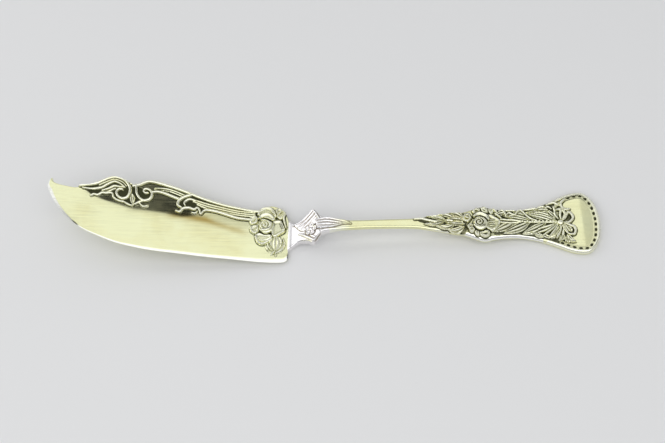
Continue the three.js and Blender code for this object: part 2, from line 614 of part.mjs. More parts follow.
// A ribbon bow: a knot, two loops towards the end and two tails out to the beaded border
function ribbonBow() {
  const knot = plan(BOW_AT, 0);
  const tailAt = BOW_AT + TAIL_BACK;
  const reach = handleHalf(tailAt) - BEAD_INSET - BEAD_DIAMETER - ORNAMENT_GAP;
  const parts = [boss(gripBase, knot, KNOT_RADIUS, 1.4 * RELIEF, SIDES)];
  for (const sign of [-1, 1]) {
    const loop = plan(BOW_AT - BOW_LOOP * Math.cos(LEAN), sign * BOW_LOOP * Math.sin(LEAN));
    const ribbon = [knot, plan(BOW_AT - TAIL_BACK, sign * 0.4 * reach), plan(tailAt, sign * reach)];
    const widths = [RIBBON_WIDTH, RIBBON_WIDTH, RIBBON_WIDTH / 3];
    parts.push(leaf(gripBase, knot, loop, LOOP_WIDTH, sign * 0.23));
    parts.push(ridge(gripBase, ribbon, widths, RELIEF, LEAF_STEPS));
  }
  return seated(gripBase, parts);
}

// A narrow band round the handle's end that carries a row of beads
function beadBorder() {
  const outline = handleSamples.filter((p) => p.x < BEAD_REACH);
  const inset = outline.slice(1).map((p, i) => {
    const tangent = p.clone().sub(outline[i]).normalize();
    return plan(p.x + tangent.y * BEAD_INSET, p.y - tangent.x * BEAD_INSET);
  });
  const half = inset.filter((p) => p.y > END_FLAT_HALF);
  const other = half.map((p) => plan(p.x, -p.y)).reverse();
  const whole = new THREE.SplineCurve([...other, ...half].filter((_, i) => i % 4 === 0));
  const count = Math.floor(whole.getLength() / BEAD_PITCH);
  const path = whole.getSpacedPoints(count);
  const band = ridge(gripBase, path, [BAND_WIDTH, BAND_WIDTH], 0.4 * BEAD_DIAMETER, count);
  const beads = Array.from({ length: count }, (_, i) => {
    const place = whole.getPointAt((i + 0.5) / count);
    return boss(gripBase, place, BEAD_DIAMETER / 2, 0.6 * BEAD_DIAMETER, SIDES);
  });
  return seated(gripBase, [band, ...beads]);
}

// Materials: polished silver, whiter at the neck, and the castings a little duller
const SILVER = { color: 0xdfe0c4, metalness: 1, roughness: 0.18 };
const PALE_SILVER = { color: 0xe4e2e0, metalness: 1, roughness: 0.22 };
const CAST_SILVER = { color: 0xc9c8ac, metalness: 1, roughness: 0.3 };

const knife = new THREE.Group();

function addPiece(name, solid, finish) {
  const mesh = solid.getMesh();
  const geometry = new THREE.BufferGeometry();
  geometry.setAttribute("position", new THREE.BufferAttribute(mesh.vertProperties, 3));
  geometry.setIndex(new THREE.BufferAttribute(mesh.triVerts, 1));
  geometry.computeVertexNormals();
  const piece = new THREE.Mesh(geometry, new THREE.MeshStandardMaterial(finish));
  piece.name = name;
  knife.add(piece);
}

const slot = tangSolid(TANG_CLEARANCE);
const heelRoseCentre = plan(heelAt + HEEL_ROSE_AT, HEEL_ROSE_RISE);
const gripRoseCentre = plan(GRIP_ROSE_AT, 0);
addPiece("blade", bladeSolid(), SILVER);
addPiece("neck_bolster", bolsterSolid().subtract(slot), PALE_SILVER);
addPiece("handle", handleSolid().subtract(slot), SILVER);
addPiece("plume_scroll", plumeScroll(), CAST_SILVER);
addPiece("spine_reeds", spineReeds(), CAST_SILVER);
addPiece("heel_rose", rose(bladeBase, heelRoseCentre, HEEL_ROSE_RADIUS), CAST_SILVER);
addPiece("heel_leaf_bud", heelLeafBud(), CAST_SILVER);
addPiece("neck_leaf", neckLeaf(), PALE_SILVER);
addPiece("shank_leaf_spray", leafSpray(), CAST_SILVER);
addPiece("grip_rose", rose(gripBase, gripRoseCentre, GRIP_ROSE_RADIUS), CAST_SILVER);
addPiece("grip_fern", gripFern(), CAST_SILVER);
addPiece("ribbon_bow", ribbonBow(), CAST_SILVER);
addPiece("bead_border", beadBorder(), CAST_SILVER);

// The part's origin is under the middle of its box
const box = new THREE.Box3().setFromObject(knife);
const middle = box.getCenter(new THREE.Vector3());
knife.position.set(-middle.x, -middle.y, -box.min.z);

const part = new THREE.Group();
part.add(knife);
export default part;
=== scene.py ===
"""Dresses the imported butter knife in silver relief, and sets its floor, light and camera.

Plan places are millimetres: s runs from the handle's end towards the point, y across
towards the blade's back, and z up from the table.
"""
import math

import bmesh
import bpy
import numpy as np
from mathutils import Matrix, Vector


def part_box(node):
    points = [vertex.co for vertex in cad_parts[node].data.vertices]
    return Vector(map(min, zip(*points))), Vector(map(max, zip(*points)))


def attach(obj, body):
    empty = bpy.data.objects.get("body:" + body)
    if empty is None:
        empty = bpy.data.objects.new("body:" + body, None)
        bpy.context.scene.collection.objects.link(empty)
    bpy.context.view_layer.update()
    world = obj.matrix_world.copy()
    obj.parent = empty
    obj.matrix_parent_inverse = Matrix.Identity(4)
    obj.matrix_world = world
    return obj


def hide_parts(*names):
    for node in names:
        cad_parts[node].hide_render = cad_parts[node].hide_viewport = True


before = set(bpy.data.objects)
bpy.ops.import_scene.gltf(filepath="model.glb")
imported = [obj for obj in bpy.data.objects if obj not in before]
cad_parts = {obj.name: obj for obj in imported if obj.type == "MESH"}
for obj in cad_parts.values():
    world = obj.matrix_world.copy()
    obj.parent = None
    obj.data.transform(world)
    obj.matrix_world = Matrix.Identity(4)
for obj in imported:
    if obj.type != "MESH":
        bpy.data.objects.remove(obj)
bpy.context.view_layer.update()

# Stations along the knife
MM = 0.001
HANDLE_LOW, HANDLE_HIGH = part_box("handle")
ORIGIN_X = HANDLE_HIGH.x
AXIS_Y = 0.5 * (HANDLE_LOW.y + HANDLE_HIGH.y)
BOLSTER_AT = (ORIGIN_X - HANDLE_LOW.x) / MM
HEEL_AT = (ORIGIN_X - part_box("neck_bolster")[0].x) / MM
POINT_AT = (ORIGIN_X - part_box("blade")[0].x) / MM
BLADE_LENGTH = POINT_AT - HEEL_AT
EARS_AT = BOLSTER_AT + 5.5
SHANK_AT = BOLSTER_AT - 27.9
SWELL_AT = BOLSTER_AT - 13.95
OFFSET_FROM, OFFSET_TO = BOLSTER_AT - 7, 93.65

# Thickness, and how the knife arches off the table
END_THICKNESS = 2.1
SHANK_THICKNESS = 2.6
NECK_THICKNESS = 3.2
HEEL_THICKNESS = 2.2
EDGE_THICKNESS = 0.6
BACK_THICKNESS = 1.5
EDGE_DROP = 9.5
BACK_RISE = 20.0
AXIS_SHARE = 1 / 3
REST_LENGTH = 8.0
ARCH_AT = 78.0
ARCH_RISE = 5.2
BLADE_SLOPE = 0.12
CURL_RISE = 3.18
NECK_OFFSET = 0.8
HEEL_BAND, HEEL_BAND_BACK, HEEL_BAND_WIDTH = 0.25, 0.6, 0.5
END_BEND_AT, END_BEND, END_KNEE = 5.6, 0.045, 0.5

# The blade's face is dished across, and turns up in a band along its back
BAND_STATIONS = (127.5, 136, 141, 152, 163, 165.5)
BAND_HEIGHTS = (6.5, 6.8, 7.8, 9.2, 12.4, 13.5)
BAND_SLOPE, BAND_KNEE, BAND_FADE = 0.09, 0.8, 10.0
DISH, DISH_FROM, DISH_FULL = 0.32, 2.0, 14.0
POINT_FLAT, POINT_FADE = 8.0, 26.0
LEAST_WIDTH = 1.0

# Rims of the handle and the bolster
RIM_STATIONS = (0, 40, 58, 70, 84, 90, 92, 94, 98, 100.8)
FAR_RIM = (0.5, 0.6, 0.7, 0.7, 0.7, 0.7, 0.5, 0.7, 0.9, 0.6)
NEAR_RIM = (1.0, 1.2, 0.6, 0.5, 0.6, 0.7, 0.5, 0.7, 0.9, 0.6)
WIDEST_RIM = 0.9
RIM_STEPS = np.array([0, 0.04, 0.14, 0.3, 0.55, 1.0])
ROUND, BEVELLED = 2, 1
UNDER_RIM_WIDTH, UNDER_RIM_DEPTH = 0.7, 0.8
HALF_ROUND_FROM, HALF_ROUND_TO = (40, 56), (82, 88)
HALF_ROUND_WIDTH, HALF_ROUND_DEPTH = 0.95, 0.7

# The relief's grid, and how its edge meets what carries it
GRID = 0.12
MARGIN = 3 * GRID
SKIRT, SKIRT_HEIGHT = 0.26, 0.05
SINK = 0.08
TRIM = 0.02
LEAST_CUT = 0.15
FAR, TINY = 99.0, 1e-9
SPAN_STEPS, LEAST_STEPS, STRAND_STEP = 20, 6, 0.3
CREASE = math.radians(50)

# The forms that relief is made of: feet and hollows are shares of the height
RIDGE_FOOT, GROOVE_SHARE = 0.3, 0.4
LEAF_ROOT, LEAF_SKEW, LEAF_FULL, LEAF_LEAST = 0.02, 0.75, 0.8, 1e-4
LEAF_FOOT, STREAK_DEPTH, RIB_DEPTH, RIB_WIDTH = 0.4, 0.5, 0.3, 0.18
FOLD_WAVE, FOLD_SPAN = 0.9, (0.1, 0.5)
BOSS_FOOT = 0.3
PIT_FLOOR, PIT_DARK = 0.5, 0.9
RIM_CREST, RIM_FOOT = 0.25, 0.9
LOBE_LIP, LOBE_FOOT, LOBE_HOLLOW = 0.35, 0.35, 0.3
PETAL_BOW, PETAL_CORNER, PETAL_OVERLAP = 0.16, 0.12, 0.05
PETAL_HOLLOW, PETAL_ROLL, PETAL_SIDE, PETAL_FOOT = 0.45, 0.6, 0.25, 0.55
WHORL_HEIGHT, WHORL_FOOT = 1.5, 0.6
COIL_TURN, COIL_STEPS, COIL_WIDTH, COIL_DEPTH = 3.6 * math.pi, 24, 0.5, 0.4
COIL_FROM, COIL_TO = 0.74, 0.12

# Wear and painted light: below neutral the metal is dark with tarnish and painted shade, above it rubbed
# bright and painted with highlight
NEUTRAL_WEAR = 0.5
GROUND_WEAR = 0.22
DARK_WEAR = 0.15
# Near rims are painted bright as a highlight, fading out on the handle between BRIGHT_RIM_ENDS
NEAR_RIM_HIGHLIGHT = 0.92
BRIGHT_RIM_ENDS = (46, 60)
SEAM_WEAR, SEAM_FADE_AT = 0.85, 76.0
NEAR_ROUNDS, NEAR_GAIN = 8, 1.5
WIDE_ROUNDS, WIDE_GAIN = 50, 1.2
# How the ground round relief takes its painted shade and tarnish
SHADE_ROUNDS, SHADE_GAIN, DEEPEST_SHADE = 14, 1.6, 0.5

# A golden reflection painted along the blade, under its reeds, and a golden tint on the tail of the neck's
# leaf
GOLD_REFLECTION_STATIONS = (112, 120, 125, 128, 137)
GOLD_REFLECTION_HEIGHTS = (0.4, 2.8, 4.5, 5.7, 7.3)
GOLD_REFLECTION_WIDTHS = (1.2, 1.2, 1.2, 1.4, 1.5)
GOLD_REFLECTION_LEVELS = (0.55, 0.65, 0.75, 1.0, 0.95)
GOLD_REFLECTION_FADE = 6.0
GOLD_LEVEL = 0.95


def smooth(start, end, x):
    t = np.clip((x - start) / (end - start), 0, 1)
    return t * t * (3 - 2 * t)


def mix(a, b, share):
    return a + (b - a) * share


def ramp(x, knee):
    """Nothing below 0, and x above it, with a rounded knee."""
    return 0.5 * (x + np.hypot(x, knee))


def dome(across):
    """A round crown, 1 in the middle and 0 at the sides."""
    return np.sqrt(np.clip(1 - across ** 2, 0, 1))


def body_thickness(s):
    slim = mix(END_THICKNESS, SHANK_THICKNESS, smooth(REST_LENGTH, SHANK_AT, s))
    full = mix(slim, NECK_THICKNESS, smooth(SWELL_AT, EARS_AT, s))
    return mix(full, HEEL_THICKNESS, smooth(EARS_AT, HEEL_AT, s))


def body_under(s):
    return ARCH_RISE * (smooth(REST_LENGTH, ARCH_AT, s) - smooth(BOLSTER_AT, HEEL_AT, s))


def blade_thickness(y):
    return mix(EDGE_THICKNESS, BACK_THICKNESS, (y + EDGE_DROP) / (BACK_RISE + EDGE_DROP))


def blade_under(s):
    lift = 0.5 * (HEEL_THICKNESS - mix(EDGE_THICKNESS, BACK_THICKNESS, AXIS_SHARE))
    beyond = s - HEEL_AT
    return lift + BLADE_SLOPE * beyond + CURL_RISE * (beyond / BLADE_LENGTH) ** 2


def neck_middle(s):
    return NECK_OFFSET * smooth(OFFSET_FROM, EARS_AT, s) * (1 - smooth(OFFSET_TO, HEEL_AT, s))


def spline(points, count=None, step=STRAND_STEP):
    """Even steps along a smooth curve through the points, by their count or their length."""
    p = np.array(points, float)
    p = np.vstack([p[:1], p, p[-1:]])
    t = np.linspace(0, 1, SPAN_STEPS, endpoint=False)[:, None]
    parts = []
    for a, b, c, d in zip(p, p[1:], p[2:], p[3:]):
        bend = (2 * a - 5 * b + 4 * c - d) * t * t + (3 * b - a - 3 * c + d) * t ** 3
        parts.append(0.5 * (2 * b + (c - a) * t + bend))
    dense = np.vstack(parts + [p[-1:]])
    steps = np.linalg.norm(np.diff(dense, axis=0), axis=1)
    reach = np.concatenate([[0], np.cumsum(steps)])
    at = np.linspace(0, reach[-1], count or max(LEAST_STEPS, int(reach[-1] / step)))
    return np.column_stack([np.interp(at, reach, dense[:, 0]), np.interp(at, reach, dense[:, 1])])


# Outlines, as station and half width, or as share of the blade's length and rise
HANDLE_OUTLINE = [
    (0, 0.2), (0.275, 3.3), (0.88, 6.16), (2.2, 8.8), (3.85, 10.45), (5.5, 11), (8.1, 10.78),
    (10.7, 9.96), (13, 8.87), (16.1, 7.5), (20.1, 6), (24.5, 5.08), (29, 4.9), (33.5, 5.38),
    (36.3, 6.1), (38, 6), (40.3, 5.15), (43.4, 4.05), (47.1, 3.6), (50.6, 3.1), (54.1, 2.56),
    (58.6, 1.84), (65.6, 1.6), (79.5, 1.6), (86.5, 2.5),
]
BOLSTER_OUTLINE = [
    (86.5, 2.5), (88.4, 2.8), (89.6, 3.43), (90.8, 4.94), (92, 6.2), (93.7, 5), (96.8, 3.8),
    (98.8, 4.34), (100.8, 5.6),
]
BACK_OUTLINE = [
    (0, 5.28), (0.016, 9.13), (0.055, 11), (0.088, 11), (0.126, 9.4), (0.205, 10.4),
    (0.289, 12), (0.375, 14.35), (0.46, 16.8), (0.525, 18.4), (0.575, 19.3), (0.604, 18.8),
    (0.628, 17.8), (0.652, 17.5), (0.678, 18.8), (0.721, 19.95), (0.746, 19.8), (0.781, 18.46),
    (0.824, 17.12), (0.864, 16.8), (0.887, 16.25), (0.928, 16.7), (0.966, 17.41), (0.985, 18.39),
    (0.988, 19.4),
]
EDGE_OUTLINE = [
    (0, -7.98), (0.008, -8.93), (0.031, -9.5), (0.112, -9.4), (0.234, -8.55), (0.355, -7.7),
    (0.455, -6.84), (0.557, -5.99), (0.638, -4.85), (0.7, -3.7), (0.761, -1.9), (0.838, 0.86),
    (0.891, 4.01), (0.937, 7.6), (0.972, 11.41), (0.99, 14.1), (1, 16), (0.996, 18.1),
]
INSET = 0.04
HANDLE_STEPS, BOLSTER_STEPS, BLADE_STEPS = 420, 170, 460


def blade_rail(outline, inset):
    reach = BLADE_LENGTH - INSET
    return spline([(HEEL_AT + reach * share, y + inset) for share, y in outline], BLADE_STEPS)


handle_rail = spline([(s, w - INSET) for s, w in HANDLE_OUTLINE], HANDLE_STEPS)
bolster_rail = spline([(s, w - INSET) for s, w in BOLSTER_OUTLINE], BOLSTER_STEPS)
body_rail = np.vstack([handle_rail, bolster_rail[1:]])
back_rail = blade_rail(BACK_OUTLINE, -INSET)
edge_rail = blade_rail(EDGE_OUTLINE, INSET)


def rail_height(rail, s):
    """Where the blade's back or edge lies at a station."""
    order = np.argsort(rail[:, 0])
    return np.interp(s, rail[order, 0], rail[order, 1])


def half_width(s):
    return np.interp(s, body_rail[:, 0], body_rail[:, 1])


def normals(rail, turn):
    """Directions across a rail, to its left for a turn of 1, to its right for -1."""
    run = np.gradient(rail, axis=0)
    run /= np.linalg.norm(run, axis=1)[:, None]
    return turn * np.column_stack([-run[:, 1], run[:, 0]])


def rounding(s, near):
    """Radius of the upper rim on the handle and the bolster, broader on the near side."""
    want = np.where(near, np.interp(s, RIM_STATIONS, NEAR_RIM), np.interp(s, RIM_STATIONS, FAR_RIM))
    return np.minimum(want, WIDEST_RIM * half_width(s))


def under_rounding(s):
    """Width and depth of the rounded lower rim, which makes the shank half round."""
    share = smooth(*HALF_ROUND_FROM, s) * (1 - smooth(*HALF_ROUND_TO, s))
    width = mix(UNDER_RIM_WIDTH, HALF_ROUND_WIDTH * half_width(s), share)
    depth = mix(UNDER_RIM_DEPTH, HALF_ROUND_DEPTH * body_thickness(s), share)
    return width, depth


def rim_drop(offset, radius, depth, power):
    """How far a rim lies below the face, at an offset from the outline, round or bevelled."""
    back = np.clip(1 - offset / radius, 0, 1)
    return depth * (1 - (1 - back ** power) ** (1 / power))


def body_face(s, y):
    """Upper face of the handle and the bolster, level across, before its rim is rounded."""
    band = HEEL_BAND * np.exp(-((s - HEEL_AT + HEEL_BAND_BACK) / HEEL_BAND_WIDTH) ** 4)
    fall = END_BEND * ramp(END_BEND_AT - s, END_KNEE)
    return body_under(s) + body_thickness(s) + band - fall


def blade_face(s, y):
    """Upper face of the blade, before its bevel is cut."""
    back, edge = rail_height(back_rail, s), rail_height(edge_rail, s)
    fade = 1 - smooth(POINT_AT - POINT_FADE, POINT_AT - POINT_FLAT, s)
    dish = DISH * fade * smooth(HEEL_AT + DISH_FROM, HEEL_AT + DISH_FULL, s)
    share = np.clip((y - edge) / np.maximum(back - edge, LEAST_WIDTH), 0, 1)
    above = y - np.interp(s, BAND_STATIONS, BAND_HEIGHTS)
    first, last = BAND_STATIONS[0], BAND_STATIONS[-1]
    gone = smooth(last - 0.5 * BAND_FADE, last + 0.5 * BAND_FADE, s)
    turned = smooth(first, first + BAND_FADE, s) * (1 - gone)
    band = BAND_SLOPE * turned * ramp(above, BAND_KNEE)
    return blade_under(s) + blade_thickness(y) + band - 4 * dish * share * (1 - share)


def body_bed(s, y):
    """What relief stands on along the handle and the bolster, rounded rim and all."""
    off_middle = y - neck_middle(s)
    offset = np.clip(half_width(s) - np.abs(off_middle), 0, None)
    radius = rounding(s, off_middle < 0)
    return body_face(s, y) - rim_drop(offset, radius, radius, ROUND)


def gold_reflection_at(s, y):
    """How much of the painted golden reflection lies at a place, 0 to 1."""
    width = np.interp(s, GOLD_REFLECTION_STATIONS, GOLD_REFLECTION_WIDTHS)
    off = (y - np.interp(s, GOLD_REFLECTION_STATIONS, GOLD_REFLECTION_HEIGHTS)) / width
    first, last = GOLD_REFLECTION_STATIONS[0], GOLD_REFLECTION_STATIONS[-1]
    ends = smooth(first, first + GOLD_REFLECTION_FADE, s) * (1 - smooth(last, last + GOLD_REFLECTION_FADE, s))
    return np.exp(-off ** 2) * ends * np.interp(s, GOLD_REFLECTION_STATIONS, GOLD_REFLECTION_LEVELS)


def place(s, y, z):
    """Plan millimetres to the frame's metres."""
    return np.stack([ORIGIN_X - s * MM, AXIS_Y + y * MM, z * MM], axis=-1)


class Relief:
    """Relief on a fine plan grid: how far inside its outline each point is, and its height.

    gold holds the stations between which the golden tint fades out into the paler, painted-highlight
    silver, and fade is the width over which the wear and painted light go back to neutral towards the
    relief's edge.
    """

    def __init__(self, low, high, ground_wear=GROUND_WEAR, contrast=1.0, base_wear=NEUTRAL_WEAR,
                 gold=None, fade=0.0):
        self.ground_wear, self.contrast, self.base_wear = ground_wear, contrast, base_wear
        self.gold, self.fade = gold, fade
        self.low = np.array(low, float)
        counts = np.ceil((np.array(high) - self.low) / GRID).astype(int) + 1
        self.s, self.y = self.low[:, None, None] + GRID * np.indices(counts)
        self.inside = np.full(counts, -FAR)
        self.height = np.zeros(counts)
        self.ground = np.zeros(counts, bool)

    def window(self, points, margin):
        """The part of the grid round the points."""
        points = np.atleast_2d(points)
        first = np.floor((points.min(0) - margin - self.low) / GRID).astype(int)
        last = np.ceil((points.max(0) + margin - self.low) / GRID).astype(int) + 1
        return tuple(slice(max(a, 0), b) for a, b in zip(first, last))

    def along(self, path, margin):
        """Nearest place on a path: window, share of its length, distance and side."""
        window = self.window(path, margin + MARGIN)
        s, y = self.s[window], self.y[window]
        best = np.full(s.shape, FAR)
        share = np.zeros(s.shape)
        side = np.zeros(s.shape)
        for k, (a, b) in enumerate(zip(path, path[1:])):
            run = b - a
            t = np.clip(((s - a[0]) * run[0] + (y - a[1]) * run[1]) / max(run @ run, TINY), 0, 1)
            off_s, off_y = s - a[0] - t * run[0], y - a[1] - t * run[1]
            away = np.hypot(off_s, off_y)
            closer = away < best
            best = np.where(closer, away, best)
            share = np.where(closer, (k + t) / (len(path) - 1), share)
            side = np.where(closer, np.sign(run[0] * off_y - run[1] * off_s), side)
        return window, share, best, side

    def within(self, outline, margin=GRID):
        """Window and distance inside a closed outline, less than nothing outside it."""
        path = np.vstack([outline, outline[:1]])
        window, _, away, _ = self.along(path, margin)
        s, y = self.s[window], self.y[window]
        odd = np.zeros(s.shape, bool)
        for a, b in zip(path, path[1:]):
            if a[1] != b[1]:
                cross = a[0] + (y - a[1]) / (b[1] - a[1]) * (b[0] - a[0])
                odd ^= ((a[1] > y) != (b[1] > y)) & (s < cross)
        return window, np.where(odd, away, -away)

    def add(self, window, inside, height, over=False, ground=False):
        """Lays a form on the grid, over what is there or only where it stands higher."""
        held = self.inside[window] > 0
        old = np.where(held, self.height[window], 0)
        taken = (inside > 0) & (over | (height > old))
        self.height[window] = np.where(taken, height, old)
        self.ground[window] = np.where(taken, ground, self.ground[window])
        self.inside[window] = np.maximum(self.inside[window], inside)

    def ridge(self, points, widths, height, over=False, groove=0.0):
        """A rounded strand along a smooth curve, its width given at even steps."""
        window, share, away, _ = self.along(spline(points), max(widths))
        half = 0.5 * np.interp(share, np.linspace(0, 1, len(widths)), widths)
        across = away / half
        crown = dome(across) - groove * np.exp(-(across / GROOVE_SHARE) ** 2)
        self.add(window, half - away, height * (RIDGE_FOOT + (1 - RIDGE_FOOT) * crown), over)

    def leaf(self, points, width, height, streaks=0):
        """A pointed leaf with streaks along it, or with none a drop with a sunk rib."""
        window, share, away, side = self.along(spline(points), 0.5 * width)
        taper = np.sin(np.pi * np.clip(share, LEAF_ROOT, 1) ** LEAF_SKEW) ** LEAF_FULL
        half = 0.5 * width * taper + LEAF_LEAST
        across = np.clip(away / half, 0, 1)
        if streaks:
            cut = STREAK_DEPTH * (0.5 - 0.5 * np.cos(2 * math.pi * streaks * (0.5 + 0.5 * side * across)))
        else:
            fold = (0.5 + 0.5 * np.cos(2 * math.pi * (FOLD_WAVE * across))) * smooth(*FOLD_SPAN, across)
            cut = STREAK_DEPTH * fold + RIB_DEPTH * np.exp(-(away / RIB_WIDTH) ** 2)
        top = height * (LEAF_FOOT + (1 - LEAF_FOOT) * dome(across) - cut * dome(across))
        self.add(window, half - away, top, over=True)

    def around(self, centre, margin):
        """The grid round a centre: window, and places from that centre."""
        window = self.window(centre, margin)
        return window, self.s[window] - centre[0], self.y[window] - centre[1]

    def boss(self, centre, radius, height, foot=BOSS_FOOT):
        """A rounded button."""
        window, ds, dy = self.around(centre, radius + MARGIN)
        away = np.hypot(ds, dy)
        self.add(window, radius - away, height * (foot + (1 - foot) * dome(away / radius)), over=True)

    def pit(self, centre, run, length, width):
        """An oval dent in what is there already, painted dark as tarnish and as the shade in the dent."""
        window, ds, dy = self.around(centre, 0.5 * length)
        run = run / np.linalg.norm(run)
        away = np.hypot(2 * (ds * run[0] + dy * run[1]) / length, 2 * (dy * run[0] - ds * run[1]) / width)
        self.height[window] *= smooth(PIT_FLOOR, 1, away)
        self.ground[window] |= away < PIT_DARK

    def rim(self, path, width, height):
        """A rim along a path, which slopes down to nothing at its width."""
        window, _, away, _ = self.along(path, width)
        slope = smooth(RIM_CREST, RIM_FOOT, away / width)
        self.add(window, width - away, SKIRT_HEIGHT + height * (1 - slope))

    def plate(self, outline, height, bend=True, ground=True):
        """A low plate inside a closed outline, dark with tarnish where it is ground."""
        path = spline(list(outline) + [outline[0]])[:-1] if bend else np.array(outline, float)
        window, inside = self.within(path)
        self.add(window, inside, np.full(inside.shape, height), ground=ground)

    def lobe(self, outline, height):
        """A petal inside a closed outline, with a raised lip and a hollow face."""
        window, inside = self.within(spline(list(outline) + [outline[0]])[:-1])
        rise, fall = smooth(0, LOBE_LIP, inside), smooth(LOBE_LIP, 4 * LOBE_LIP, inside)
        top = height * (LOBE_FOOT + (1 - LOBE_FOOT) * rise - LOBE_HOLLOW * fall)
        self.add(window, inside, top, over=True)

    def groove(self, points, width, depth):
        """A cut along a smooth curve in what is there already."""
        window, _, away, _ = self.along(spline(points), width)
        cut = depth * np.clip(1 - (2 * away / width) ** 2, 0, 1)
        old = self.height[window]
        self.height[window] = np.maximum(old - cut, SKIRT_HEIGHT * (old > 0))

    def petal(self, centre, toward, spread, reach, height, lip):
        """A cupped petal that rises outwards to a rolled lip."""
        window, ds, dy = self.around(centre, reach + MARGIN)
        away = np.hypot(ds, dy)
        turn = (np.arctan2(dy, ds) - math.radians(toward) + math.pi) % (2 * math.pi) - math.pi
        turn = turn / math.radians(spread)
        edge = reach * (1 - PETAL_BOW * turn ** 2 - PETAL_CORNER * turn ** 8)
        beside = (1 - np.abs(turn)) * math.radians(spread) * away + PETAL_OVERLAP
        roll = np.sin(np.pi * np.clip((edge - away) / lip, 0, 1) ** PETAL_ROLL)
        cup = 1 - PETAL_HOLLOW + PETAL_HOLLOW * roll
        sides = PETAL_FOOT + (1 - PETAL_FOOT) * np.sqrt(np.clip((1 - np.abs(turn)) / PETAL_SIDE, 0, 1))
        self.add(window, np.minimum(edge - away, beside), height * cup * sides, over=True)

    def whorl(self, centre, ball, eye, start):
        """A round bud with a spiral cut round its eye."""
        self.boss(centre, ball, WHORL_HEIGHT, foot=WHORL_FOOT)
        turns = np.linspace(start, start + COIL_TURN, COIL_STEPS)
        reach = np.linspace(COIL_FROM * ball, COIL_TO * ball, COIL_STEPS)
        coil = [(eye[0] + r * math.cos(a), eye[1] + r * math.sin(a)) for a, r in zip(turns, reach)]
        self.groove(coil, COIL_WIDTH, COIL_DEPTH)

    def spread(self, rounds):
        """The heights blurred over their surroundings, each point with its four neighbours."""
        soft = np.pad(np.where(self.inside > 0, self.height, 0), 1)
        for _ in range(rounds):
            soft[1:-1, 1:-1] = (
                soft[:-2, 1:-1] + soft[2:, 1:-1] + soft[1:-1, :-2] + soft[1:-1, 2:] + 2 * soft[1:-1, 1:-1]
            ) / 6
        return soft[1:-1, 1:-1]

    def shade_at(self, s, y):
        """How deep a point of the ground lies among this relief, 0 to about 1, which sets the painted
        shade and tarnish round it.
        """
        i, j = (np.round((at - low) / GRID).astype(int) for at, low in zip((s, y), self.low))
        near = (i >= 0) & (j >= 0) & (i < self.s.shape[0]) & (j < self.s.shape[1])
        shade = np.zeros(s.shape)
        shade[near] = self.spread(SHADE_ROUNDS)[i[near], j[near]]
        return shade

    def surface(self):
        """Height, and wear with painted light, over the grid, with a low skirt round the relief: hollows
        dark as tarnish and painted shade, high points bright as rubbing and painted highlight.
        """
        held = self.inside > 0
        falling = SKIRT_HEIGHT * np.clip(1 + self.inside / SKIRT, 0, 1)
        height = np.where(held, np.maximum(self.height, SKIRT_HEIGHT), falling)
        near, wide = self.spread(NEAR_ROUNDS), self.spread(WIDE_ROUNDS)
        standing = NEAR_GAIN * (height - near) + WIDE_GAIN * (height - wide)
        wear_and_painted_light = np.clip(self.base_wear + self.contrast * standing, 0, 1)
        if self.fade:
            wear_and_painted_light = mix(NEUTRAL_WEAR, wear_and_painted_light, smooth(0.5 * self.fade, self.fade, self.inside))
        return height, np.where(self.ground & held, np.minimum(wear_and_painted_light, self.ground_wear), wear_and_painted_light)


def set_values(mesh, name, values):
    """One number for each point of a mesh, which its material reads by name."""
    attribute = mesh.attributes.new(name, "FLOAT", "POINT")
    attribute.data.foreach_set("value", np.asarray(values, np.float32))


def shown(name, points, faces, wear_and_painted_light, node, slot, crease=CREASE):
    """A finished piece: it takes the node's place, rides on the knife and has its material."""
    mesh = bpy.data.meshes.new(name)
    mesh.from_pydata(points.tolist(), [], faces)
    mesh.validate()
    work = bmesh.new()
    work.from_mesh(mesh)
    bmesh.ops.recalc_face_normals(work, faces=work.faces)
    work.to_mesh(mesh)
    work.free()
    set_values(mesh, "wear_and_painted_light", wear_and_painted_light)
    mesh.shade_smooth()
    mesh.set_sharp_from_angle(angle=crease)
    mesh.materials.append(MATERIALS[slot])
    piece = bpy.data.objects.new(name, mesh)
    bpy.context.scene.collection.objects.link(piece)
    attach(piece, "root")
    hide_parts(node)
    return piece


def corners(grid):
    """The four corners of each cell of a grid, in order round the cell."""
    return [grid[:-1, :-1], grid[1:, :-1], grid[1:, 1:], grid[:-1, 1:]]


